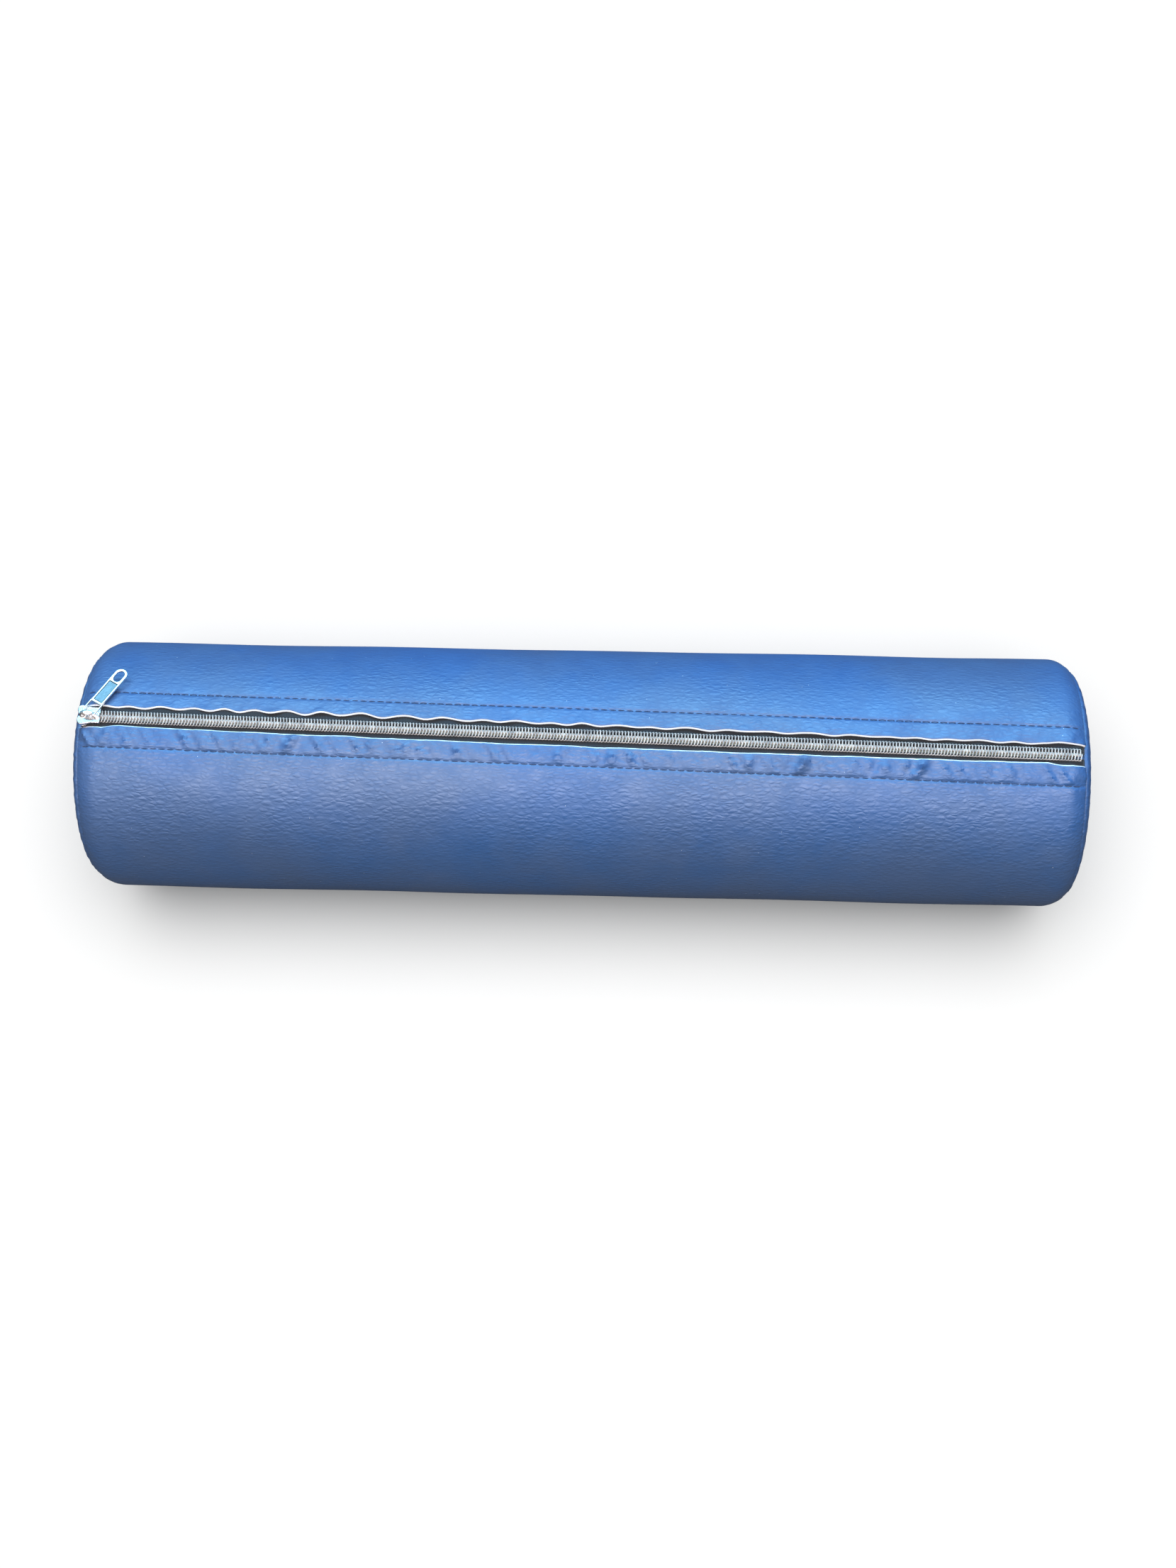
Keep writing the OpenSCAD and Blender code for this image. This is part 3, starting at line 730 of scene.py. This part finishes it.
def build_pull():
    """Foot loop and tab, a thicker rim, and a floor under the sunk panel, melted into one casting."""
    tip = PULL_L - BAR_R
    shoulder = [(8.5, FOOT_HALF), (10.2, TAB_HALF)]
    rim = [(FOOT_END, FOOT_HALF)] + shoulder + arc(tip - TAB_HALF, 0, TAB_HALF, 90, -90, 22)
    rim += [(x, -y) for x, y in reversed(shoulder)] + [(FOOT_END, -FOOT_HALF)]
    rim += arc(FOOT_END, FOOT_R - FOOT_HALF, FOOT_R, -90, -180, 8)
    rim += arc(FOOT_END, FOOT_HALF - FOOT_R, FOOT_R, 180, 90, 8)
    loop_x, loop_y = BAR_R + LOOP_R, LOOP_HALF - LOOP_R
    loop = [(loop_x, LOOP_HALF), (LOOP_END, LOOP_HALF), (LOOP_END, -LOOP_HALF), (loop_x, -LOOP_HALF)]
    loop += arc(loop_x, -loop_y, LOOP_R, -90, -180, 6) + arc(loop_x, loop_y, LOOP_R, 180, 90, 6)
    far = tip - HOLE_WALL - HOLE_R
    hole = arc(far, 0, HOLE_R, 90, -90, 14) + arc(far - HOLE_STRETCH, 0, HOLE_R, -90, -270, 14)
    panel_0, panel_1, half = PANEL_START, far - HOLE_STRETCH - HOLE_R - 1.1, TAB_HALF - PANEL_WALL
    panel = oblong(panel_0, panel_1, half)
    meshes = [
        plate([rim, loop, hole, panel], -0.6, 0.6, 0.22),
        plate([[(x, y) for x, y in rim if x > 8.2], hole, panel], -0.7, 0.72, 0.25),
        plate([oblong(panel_0 - 0.5, panel_1 + 0.5, half + 0.5)], -0.65, 0.28, 0.08)]
    across = -PULL_AXIS
    # the pull's plane also holds the zip's own direction, as it lies over the rear of the cover
    normal = ZIP_DIR.cross(across).normalized()
    forward = across.cross(normal).normalized()
    place_at = Matrix.Translation(PULL_AT) @ Matrix((
        (forward.x, across.x, normal.x, 0), (forward.y, across.y, normal.y, 0),
        (forward.z, across.z, normal.z, 0), (0, 0, 0, 1)))
    made = cast("zip_pull", meshes, 0.15, place_at, 4)
    into = place_at.inverted()
    for face in made.data.polygons:
        spot = into @ face.center / MM
        inside = panel_0 - 0.1 < spot.x < panel_1 + 0.1 and abs(spot.y) < half + 0.1
        face.material_index = int(inside and 0 < spot.z < 0.62)
    return made


pull = build_pull()
print("pull faces:", len(pull.data.polygons))

# %% [markdown]
# ## Leatherette
# Leatherette is a vinyl film pressed with a leather pattern on a knitted backing. The pattern is a net
# of fine creases round soft pebbles, drawn out along the roll, with larger shallow wrinkles over it.
# The grain is one node group, so the tube and the ends share it at their own strengths. It works in
# object coordinates, in millimetres, and the pebbles are stretched 3-D cells, so nothing has to be
# unwrapped and no seam shows.

# %% Node helpers
def new_group(name, inputs, outputs):
    """A shader node group of number sockets: its tree, the sockets that come in, those that go out,
    and the object coordinates."""
    tree = bpy.data.node_groups.new(name, "ShaderNodeTree")
    for label, value in inputs.items():
        socket = tree.interface.new_socket(label, in_out="INPUT", socket_type="NodeSocketFloat")
        socket.default_value = value
    for label in outputs:
        tree.interface.new_socket(label, in_out="OUTPUT", socket_type="NodeSocketFloat")
    into = tree.nodes.new("NodeGroupInput").outputs
    out = tree.nodes.new("NodeGroupOutput").inputs
    return tree, into, out, tree.nodes.new("ShaderNodeTexCoord").outputs["Object"]


def feed(tree, socket, value):
    """Links another node's output to a socket, or sets the socket to a number or a colour."""
    if isinstance(value, (int, float, tuple)):
        socket.default_value = value
    else:
        tree.links.new(value, socket)


def math_node(tree, operation, a, b=None, c=None):
    node = tree.nodes.new("ShaderNodeMath")
    node.operation = operation
    for socket, value in zip(node.inputs, (a, b, c)):
        if value is not None:
            feed(tree, socket, value)
    return node.outputs[0]


def noise(tree, vector, scale, detail=2.0, rough=0.5):
    node = tree.nodes.new("ShaderNodeTexNoise")
    feed(tree, node.inputs["Scale"], scale)
    node.inputs["Detail"].default_value = detail
    node.inputs["Roughness"].default_value = rough
    tree.links.new(vector, node.inputs["Vector"])
    return node.outputs["Fac"]


def wave(tree, vector, scale, distortion=0.0, direction="X"):
    node = tree.nodes.new("ShaderNodeTexWave")
    node.bands_direction = direction
    feed(tree, node.inputs["Scale"], scale)
    node.inputs["Distortion"].default_value = distortion
    tree.links.new(vector, node.inputs["Vector"])
    return node.outputs["Fac"]


def cells(tree, vector, scale, feature="DISTANCE_TO_EDGE", blur=None):
    node = tree.nodes.new("ShaderNodeTexVoronoi")
    node.feature = feature
    node.inputs["Scale"].default_value = scale
    if blur is not None:
        node.inputs["Smoothness"].default_value = blur
    tree.links.new(vector, node.inputs["Vector"])
    return node.outputs["Distance"]


def stretched(tree, vector, stretch):
    node = tree.nodes.new("ShaderNodeMapping")
    node.inputs["Scale"].default_value = stretch
    tree.links.new(vector, node.inputs["Vector"])
    return node.outputs["Vector"]


def ramp(tree, value, low, high, out_low=0.0, out_high=1.0, smooth=True):
    """Turns the stretch from low to high into the stretch from out_low to out_high."""
    node = tree.nodes.new("ShaderNodeMapRange")
    node.interpolation_type = "SMOOTHSTEP" if smooth else "LINEAR"
    for label, number in (("From Min", low), ("From Max", high), ("To Min", out_low), ("To Max", out_high)):
        node.inputs[label].default_value = number
    tree.links.new(value, node.inputs["Value"])
    return node.outputs["Result"]


def blend_colour(tree, share, a, b):
    node = tree.nodes.new("ShaderNodeMix")
    node.data_type = "RGBA"
    for index, value in ((0, share), (6, a), (7, b)):
        feed(tree, node.inputs[index], value)
    return node.outputs[2]


def bump(tree, height, distance, strength=1.0, normal=None):
    node = tree.nodes.new("ShaderNodeBump")
    node.inputs["Distance"].default_value = distance
    node.inputs["Strength"].default_value = strength
    tree.links.new(height, node.inputs["Height"])
    if normal is not None:
        tree.links.new(normal, node.inputs["Normal"])
    return node.outputs["Normal"]


def place_group(tree, group, values):
    """Places a node group in a material, sets its named inputs and returns its outputs."""
    node = tree.nodes.new("ShaderNodeGroup")
    node.node_tree = group
    for label, value in values.items():
        node.inputs[label].default_value = value
    return node.outputs


def new_material(name, constants):
    """A new material: itself, its node tree, its shader's sockets and the object coordinates."""
    material = bpy.data.materials.new(name)
    material.use_nodes = True
    tree = material.node_tree
    shader = tree.nodes["Principled BSDF"]
    for label, value in constants.items():
        shader.inputs[label].default_value = value
    coords = tree.nodes.new("ShaderNodeTexCoord").outputs["Object"]
    return material, tree, shader.inputs, coords


# %% The leather grain group
def build_grain():
    """Pebbles, their creases and a slow drift of tone; Wear flattens the pebbles in patches."""
    tree, into, out, coords = new_group(
        "leather grain", {"Pebble Size": 2.3, "Stretch": 0.42, "Wear": 0.5}, ["Height", "Crease", "Tone"])
    wobble = tree.nodes.new("ShaderNodeTexNoise")
    wobble.inputs["Scale"].default_value = 170
    wobble.inputs["Detail"].default_value = 2
    tree.links.new(coords, wobble.inputs["Vector"])
    push = tree.nodes.new("ShaderNodeVectorMath")
    push.operation = "MULTIPLY_ADD"
    push.inputs[1].default_value = (0.005, 0.0026, 0.0026)
    tree.links.new(wobble.outputs["Color"], push.inputs[0])
    tree.links.new(coords, push.inputs[2])
    scale = tree.nodes.new("ShaderNodeCombineXYZ")
    per_m = math_node(tree, "DIVIDE", 1000.0, into["Pebble Size"])
    tree.links.new(math_node(tree, "MULTIPLY", per_m, into["Stretch"]), scale.inputs[0])
    tree.links.new(per_m, scale.inputs[1])
    tree.links.new(per_m, scale.inputs[2])
    fit = tree.nodes.new("ShaderNodeVectorMath")
    fit.operation = "MULTIPLY"
    tree.links.new(push.outputs[0], fit.inputs[0])
    tree.links.new(scale.outputs[0], fit.inputs[1])
    pebbles = cells(tree, fit.outputs[0], 1.0, "SMOOTH_F1", 0.35)
    edges = cells(tree, fit.outputs[0], 1.0)
    small = cells(tree, fit.outputs[0], 2.1, "SMOOTH_F1", 0.4)
    crease = ramp(tree, edges, 0.0, 0.28)
    patch = noise(tree, coords, 22, 3.0)
    fold = noise(tree, fit.outputs[0], 0.55, 1.0)
    dome = math_node(tree, "MULTIPLY", ramp(tree, pebbles, 0.75, 0.05), 0.5)
    dome = math_node(tree, "MULTIPLY_ADD", ramp(tree, small, 0.7, 0.1), 0.14, dome)
    dome = math_node(tree, "MULTIPLY_ADD", crease, 0.2, dome)
    dome = math_node(tree, "MULTIPLY_ADD", fold, 0.45, dome)
    wear = math_node(tree, "MULTIPLY", ramp(tree, patch, 0.3, 0.7), into["Wear"])
    strength = math_node(tree, "SUBTRACT", 1.0, wear)
    tree.links.new(math_node(tree, "MULTIPLY", dome, strength), out["Height"])
    valley = math_node(tree, "SUBTRACT", 1.0, crease)
    tree.links.new(math_node(tree, "MULTIPLY", valley, strength), out["Crease"])
    tree.links.new(noise(tree, coords, 9, 4.0, 0.6), out["Tone"])
    return tree


grain = build_grain()
print("leather grain:", len(grain.nodes), "nodes")


# %% Leatherette for the face of the panels
BLUE = (0.024, 0.09, 0.26, 1.0)
GREY_BLUE = (0.05, 0.098, 0.215, 1.0)
# painted shade: the colour that the creases of the grain are darkened towards
CREASE_SHADE_BLUE = (0.0132, 0.0495, 0.143, 1.0)
LINT = (0.75, 0.82, 0.86, 1.0)


def leatherette(name, grain_bump, pebble, wear):
    """Two blues that drift into each other, painted shade in the creases, rare lint, and a worn vinyl
    shine.
    """
    material, tree, shader, coords = new_material(name, {
        "Specular IOR Level": 1.0, "Specular Tint": (0.82, 0.93, 1.0, 1.0), "IOR": 1.5})
    skin = place_group(tree, grain, {"Pebble Size": pebble, "Stretch": 0.42, "Wear": wear})
    tone = ramp(tree, skin["Tone"], 0.3, 0.62)
    base = blend_colour(tree, math_node(tree, "MULTIPLY", tone, 0.8), BLUE, GREY_BLUE)
    # painted shade: the colour is darkened in the creases of the grain, where shade falls
    dark = math_node(tree, "MULTIPLY", skin["Crease"], 0.16)
    base = blend_colour(tree, dark, base, CREASE_SHADE_BLUE)
    speck = cells(tree, stretched(tree, coords, (420, 420, 420)), 1.0, "F1")
    rare = noise(tree, coords, 260, 0.0)
    lint = math_node(tree, "MULTIPLY", ramp(tree, speck, 0.1, 0.04), ramp(tree, rare, 0.72, 0.78))
    base = blend_colour(tree, lint, base, LINT)
    tree.links.new(base, shader["Base Color"])
    dull = noise(tree, coords, 55, 3.0, 0.6)
    rough = ramp(tree, dull, 0.3, 0.7, 0.42, 0.56)
    rough = math_node(tree, "MULTIPLY_ADD", skin["Crease"], 0.12, rough)
    tree.links.new(rough, shader["Roughness"])
    pores = noise(tree, stretched(tree, coords, (0.7, 1, 1)), 2600, 2.0)
    fine = bump(tree, pores, 0.00006, 0.5)
    tree.links.new(bump(tree, skin["Height"], grain_bump, 1.0, fine), shader["Normal"])
    return material


tube_leather = leatherette("leatherette_tube", 0.0003, 2.2, 0.45)
end_leather = leatherette("leatherette_ends", 0.00028, 2.1, 0.4)


# %% The white backing that shows on a cut edge and inside
def backing():
    """A fuzzy white knit, a little blue where the film's colour has gone through."""
    material, tree, shader, coords = new_material("leatherette_backing", {"Roughness": 0.9})
    knit = wave(tree, coords, 420, 3)
    tint = blend_colour(tree, noise(tree, coords, 300, 3.0), (0.86, 0.88, 0.9, 1.0), (0.66, 0.72, 0.8, 1.0))
    tree.links.new(tint, shader["Base Color"])
    fuzz = math_node(tree, "ADD", knit, noise(tree, coords, 1900, 3.0))
    tree.links.new(bump(tree, fuzz, 0.00012, 0.6), shader["Normal"])
    return material


edge_white = backing()

# %% [markdown]
# ## Thread, tape and coil
# Polyester thread is two or three plies twisted together, so its bump is a slanted wave and its sheen
# is soft. The sewing thread and the coil's own thread share the twist, so it is a node group. Zip
# tape is a flat twill, with fine ribs that run across it. The coil is extruded monofilament, smooth
# and slightly glossy, silver-grey next to the black tape. Pictures of a weave would have to be
# unwrapped onto these narrow pieces; waves in object coordinates follow them as they are.

# %% The ply twist group
def build_twist():
    """Slanted plies, and patches where the thread is rubbed."""
    tree, into, out, coords = new_group("ply twist", {"Fineness": 900}, ["Ply", "Rub"])
    tree.links.new(wave(tree, coords, into["Fineness"], 1.0, "DIAGONAL"), out["Ply"])
    tree.links.new(noise(tree, coords, 700), out["Rub"])
    return tree


twist = build_twist()


# %% Thread material
def thread_material(name, dark, light):
    material, tree, shader, coords = new_material(name, {"Sheen Weight": 0.25, "Sheen Roughness": 0.5})
    plies = place_group(tree, twist, {"Fineness": 900})
    # painted shade: the colour is darker where the ply wave is low, in the grooves between the plies
    tree.links.new(blend_colour(tree, plies["Ply"], dark, light), shader["Base Color"])
    tree.links.new(ramp(tree, plies["Rub"], 0.3, 0.7, 0.6, 0.8), shader["Roughness"])
    tree.links.new(bump(tree, plies["Ply"], 0.00008, 0.8), shader["Normal"])
    return material


# the first colour of each thread is painted shade for the grooves between its plies
navy_thread = thread_material("thread_navy", (0.006, 0.02, 0.07, 1), (0.014, 0.045, 0.13, 1))
black_thread = thread_material("thread_coil", (0.008, 0.009, 0.012, 1), (0.028, 0.032, 0.04, 1))
print("threads:", navy_thread.name, black_thread.name)


# %% Tape material
def tape_material():
    """Two crossed waves for the twill, with painted shade between its ribs, greyed by dust in patches."""
    material, tree, shader, coords = new_material("zip_tape_weave", {"Sheen Weight": 0.15})
    ribs = wave(tree, coords, 330, 0.6)
    weave = math_node(tree, "MULTIPLY_ADD", wave(tree, coords, 420, 0.0, "Y"), 0.5, ribs)
    dust = ramp(tree, noise(tree, coords, 60, 4.0, 0.65), 0.45, 0.75)
    # the weave's share of the colour is painted shade, darker between the ribs; the dust's share is real
    # dust
    share = math_node(tree, "MULTIPLY_ADD", dust, 0.5, math_node(tree, "MULTIPLY", weave, 0.3))
    colour = blend_colour(tree, share, (0.004, 0.005, 0.007, 1), (0.02, 0.03, 0.044, 1))
    tree.links.new(colour, shader["Base Color"])
    tree.links.new(ramp(tree, dust, 0, 1, 0.75, 0.92), shader["Roughness"])
    tree.links.new(bump(tree, weave, 0.00015, 0.8), shader["Normal"])
    return material


twill_tape = tape_material()


# %% Coil material
def coil_material():
    """Smooth monofilament whose silver drifts from tooth to tooth."""
    material, tree, shader, coords = new_material("coil_monofilament", {
        "Specular IOR Level": 0.5, "Coat Weight": 0.1, "Coat Roughness": 0.25})
    cloudy = noise(tree, coords, 240, 4.0, 0.7)
    shade = noise(tree, stretched(tree, coords, (1, 0.2, 0.2)), 320, 1.0)
    share = math_node(tree, "MULTIPLY_ADD", cloudy, 0.6, math_node(tree, "MULTIPLY", shade, 0.4))
    colour = blend_colour(tree, ramp(tree, share, 0.3, 0.72), (0.31, 0.29, 0.28, 1), (0.68, 0.62, 0.57, 1))
    tree.links.new(colour, shader["Base Color"])
    tree.links.new(ramp(tree, cloudy, 0.3, 0.7, 0.32, 0.55), shader["Roughness"])
    tree.links.new(bump(tree, cloudy, 0.00006, 0.5), shader["Normal"])
    return material


monofilament = coil_material()
print("zip materials:", twill_tape.name, monofilament.name)

# %% [markdown]
# ## Plated zinc
# The slider is die-cast zinc, barrel-polished and nickel plated. Polishing rounds it without making
# it flat, so reflections wander; handling leaves fine scratches and dull grey in the hollows. The
# drum can't reach the pull's sunk panel, which stays dark. A plain metal of one roughness would look
# like chrome, so the wear is a node group that the bright and the dark finish share.

# %% The cast wear group
def build_wear():
    """Dulling in the hollows, cloudy polish with fine scratches, and a slight orange peel."""
    tree, into, out, coords = new_group(
        "cast wear", {"Grime": 0.45, "Cloud Scale": 420}, ["Dulling", "Polish", "Peel"])
    cloudy = noise(tree, coords, into["Cloud Scale"], 4.0, 0.6)
    hollow = tree.nodes.new("ShaderNodeNewGeometry").outputs["Pointiness"]
    grime = ramp(tree, hollow, 0.44, 0.5, 1.0, 0.0)
    clouds = math_node(tree, "MULTIPLY", cloudy, 0.25)
    tree.links.new(math_node(tree, "MULTIPLY_ADD", grime, into["Grime"], clouds), out["Dulling"])
    lines = noise(tree, stretched(tree, coords, (1.0, 0.12, 0.12)), 2600, 2.0)
    rough = math_node(tree, "MULTIPLY_ADD", grime, 0.25, ramp(tree, cloudy, 0.3, 0.7, 0.2, 0.32))
    tree.links.new(math_node(tree, "MULTIPLY_ADD", lines, 0.08, rough), out["Polish"])
    tree.links.new(noise(tree, coords, 520), out["Peel"])
    return tree


wear_group = build_wear()
print("cast wear:", len(wear_group.nodes), "nodes")


# %% Zinc material
def zinc_material(name, bright, dull):
    material, tree, shader, coords = new_material(name, {"Metallic": 1.0})
    wear = place_group(tree, wear_group, {"Grime": 0.45, "Cloud Scale": 420})
    tree.links.new(blend_colour(tree, wear["Dulling"], bright, dull), shader["Base Color"])
    tree.links.new(wear["Polish"], shader["Roughness"])
    tree.links.new(bump(tree, wear["Peel"], 0.0001, 0.5), shader["Normal"])
    return material


plated_zinc = zinc_material("zinc_nickel_plated", (0.82, 0.8, 0.79, 1), (0.4, 0.4, 0.42, 1))
recess_zinc = zinc_material("zinc_in_the_recess", (0.12, 0.14, 0.15, 1), (0.06, 0.07, 0.08, 1))

# %% [markdown]
# ## Foam
# Polyurethane foam is a mass of small open bubbles that yellows in patches. A volume shader could
# make real bubbles and would be slow; cells in the bump are enough for a surface that is seldom seen.

# %% Foam material
def foam_material():
    material, tree, shader, coords = new_material("polyurethane_foam", {"Roughness": 0.95})
    bubbles = cells(tree, stretched(tree, coords, (1400, 1400, 1400)), 1.0, "F1")
    tint = blend_colour(tree, noise(tree, coords, 30, 4.0), (0.78, 0.74, 0.6, 1), (0.66, 0.58, 0.4, 1))
    tree.links.new(tint, shader["Base Color"])
    tree.links.new(bump(tree, bubbles, 0.0004, 0.7), shader["Normal"])
    return material


cream_foam = foam_material()
print("foam material:", cream_foam.name)

# %% [markdown]
# ## Finishing
# Each piece takes its material and the body that carries it, and the CAD solid that it stands for
# is hidden. It could be parented to a moving object by hand; riding on a body by name moves it with
# the joints of the design.

# %% Give each piece its finish
CLOTH = [tube_leather, edge_white]
END_CLOTH = [end_leather, edge_white]
FINISHES = [
    # piece, its materials, the slot of its finish, the body that carries it, the node it stands for
    (tube_panel, CLOTH, "leatherette", "bolster", "tube_panel"),
    (left_end, END_CLOTH, "leatherette", "bolster", "left_end_panel"),
    (right_end, END_CLOTH, "leatherette", "bolster", "right_end_panel"),
    (foam_core, [cream_foam], "foam", "bolster", "foam_core"),
    (left_seam, [navy_thread], "thread", "bolster", "left_end_seam"),
    (right_seam, [navy_thread], "thread", "bolster", "right_end_seam"),
    (rear_stitching, [navy_thread], "thread", "bolster", "rear_zip_stitching"),
    (front_stitching, [navy_thread], "thread", "bolster", "front_zip_stitching"),
    (rear_tape, [twill_tape], "zip_tape", "bolster", "rear_tape"),
    (front_tape, [twill_tape], "zip_tape", "bolster", "front_tape"),
    (rear_coil, [monofilament], "coil_teeth", "bolster", "rear_coil"),
    (front_coil, [monofilament], "coil_teeth", "bolster", "front_coil"),
    (rear_cord, [black_thread], "coil_teeth", "bolster", "rear_coil_cord"),
    (front_cord, [black_thread], "coil_teeth", "bolster", "front_coil_cord"),
    (rear_thread, [black_thread], "thread", "bolster", "rear_coil_thread"),
    (front_thread, [black_thread], "thread", "bolster", "front_coil_thread"),
    (slider, [plated_zinc], "zinc", "slider", "slider_body"),
    (pull, [plated_zinc, recess_zinc], "zinc", "pull", "pull_tab"),
]
for piece, materials, slot, body, node in FINISHES:
    for material in materials:
        piece.data.materials.append(material)
    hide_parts(node)
    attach(piece, body)
print("pieces finished:", len(FINISHES))

# %% [markdown]
# ## Studio
# The bolster lies on pale paper. Two large soft panels light it: a bluish one behind, like open sky,
# and a warm white one nearly overhead, so the cover shades from clear blue at the back to grey-blue
# at the front. One picture of a sky could light everything, but then the shadow would turn blue too.
# Light linking keeps them apart: the panels reach only the bolster, and a neutral daylight only the
# floor. The pale surroundings are bright to the camera and dim as a light.

# %% Floor
FLOOR_HALF, FLOOR_POINTS = 1.6, 24
FLOOR_Z = -0.2 * MM


def build_floor():
    """Paper that looks pale and throws little of its light back up at the bolster."""
    line = np.linspace(-FLOOR_HALF, FLOOR_HALF, FLOOR_POINTS)
    x, y = np.meshgrid(line, line)
    points = np.stack([x, y, np.full_like(x, FLOOR_Z)], axis=-1)
    floor = new_piece("studio_floor", points, grid_faces(FLOOR_POINTS, FLOOR_POINTS))
    material, tree, shader, coords = new_material("floor_paper", {"Roughness": 0.75})
    tint = blend_colour(tree, noise(tree, coords, 3, 2.0), (0.80, 0.80, 0.795, 1), (0.84, 0.84, 0.835, 1))
    seen = tree.nodes.new("ShaderNodeLightPath").outputs["Is Camera Ray"]
    tint = blend_colour(tree, seen, (0.12, 0.12, 0.12, 1), tint)
    tree.links.new(tint, shader["Base Color"])
    floor.data.materials.append(material)
    return floor


floor = build_floor()
print("floor %.1f m across" % (2 * FLOOR_HALF))


# %% Lights
def light_only(lamp, receivers):
    """Light linking: the lamp lights only these objects."""
    group = bpy.data.collections.new(lamp.name + "_receivers")
    for receiver in receivers:
        group.objects.link(receiver)
    lamp.light_linking.receiver_collection = group


def soft_light(name, position, size, watts, colour):
    """A large rectangular light aimed at the bolster."""
    light = bpy.data.lights.new(name, "AREA")
    light.shape = "RECTANGLE"
    light.size, light.size_y = size
    light.energy = watts
    light.color = colour
    lamp = bpy.data.objects.new(name, light)
    lamp.location = position
    aim = Vector((0, 0, 0.1)) - Vector(position)
    lamp.rotation_euler = aim.to_track_quat("-Z", "Y").to_euler()
    bpy.context.scene.collection.objects.link(lamp)
    return lamp


pieces = [row[0] for row in FINISHES]
light_only(soft_light("rear_sky", (0.0, 1.0, 1.4), (2.4, 0.95), 60, (0.32, 0.7, 1.0)), pieces)
light_only(soft_light("front_white", (0.0, -0.6, 1.65), (2.4, 0.9), 46, (1.0, 0.89, 0.86)), pieces)
overcast = bpy.data.lights.new("floor_daylight", "SUN")
overcast.energy = 3.7
overcast.angle = math.radians(70)
daylight = bpy.data.objects.new("floor_daylight", overcast)
bpy.context.scene.collection.objects.link(daylight)
light_only(daylight, [floor])
print("lights:", [light.name for light in bpy.data.lights])

# %% Surroundings: their strength as a light, and as the camera sees them
AS_LIGHT, AS_SEEN = 0.09, 1.05
world = bpy.data.worlds.new("studio")
world.use_nodes = True
air = world.node_tree
glow = air.nodes["Background"]
glow.inputs["Color"].default_value = (0.83, 0.86, 0.9, 1)
seen = air.nodes.new("ShaderNodeLightPath").outputs["Is Camera Ray"]
air.links.new(ramp(air, seen, 0, 1, AS_LIGHT, AS_SEEN, smooth=False), glow.inputs["Strength"])
bpy.context.scene.world = world

# %% [markdown]
# ## Camera
# The camera stands close and almost overhead, a little to the right of the middle and turned a few
# degrees, so the bolster's far end is slightly smaller and the whole zip shows. It could track an
# empty object; its own three directions are worked out instead, because the picture is tilted too.

# %% Camera
SENSOR = 36


def aim_camera(distance, yaw, rise, roll, focus, lens):
    """Looks at the focus from a distance, with yaw and rise to the camera and roll of the picture."""
    y, e, r = math.radians(yaw), math.radians(rise), math.radians(roll)
    back = Vector((math.sin(y) * math.cos(e), -math.cos(y) * math.cos(e), math.sin(e)))
    up = Vector((-math.sin(y) * math.sin(e), math.cos(y) * math.sin(e), math.cos(e)))
    right = up.cross(back)
    turned = right * math.cos(r) + up * math.sin(r)
    over = up * math.cos(r) - right * math.sin(r)
    data = bpy.data.cameras.new("camera")
    data.sensor_width = SENSOR
    data.lens = lens
    camera = bpy.data.objects.new("camera", data)
    place_at = Matrix((turned, over, back)).transposed().to_4x4()
    place_at.translation = Vector(focus) + back * distance
    camera.matrix_world = place_at
    bpy.context.scene.collection.objects.link(camera)
    bpy.context.scene.camera = camera


aim_camera(1.127, 6.71, 73.125, -5.205, (0.0043, -0.00727, 0.075), 42.315)
bpy.context.scene.view_settings.view_transform = "Standard"
print("lens %.1f mm" % bpy.context.scene.camera.data.lens)
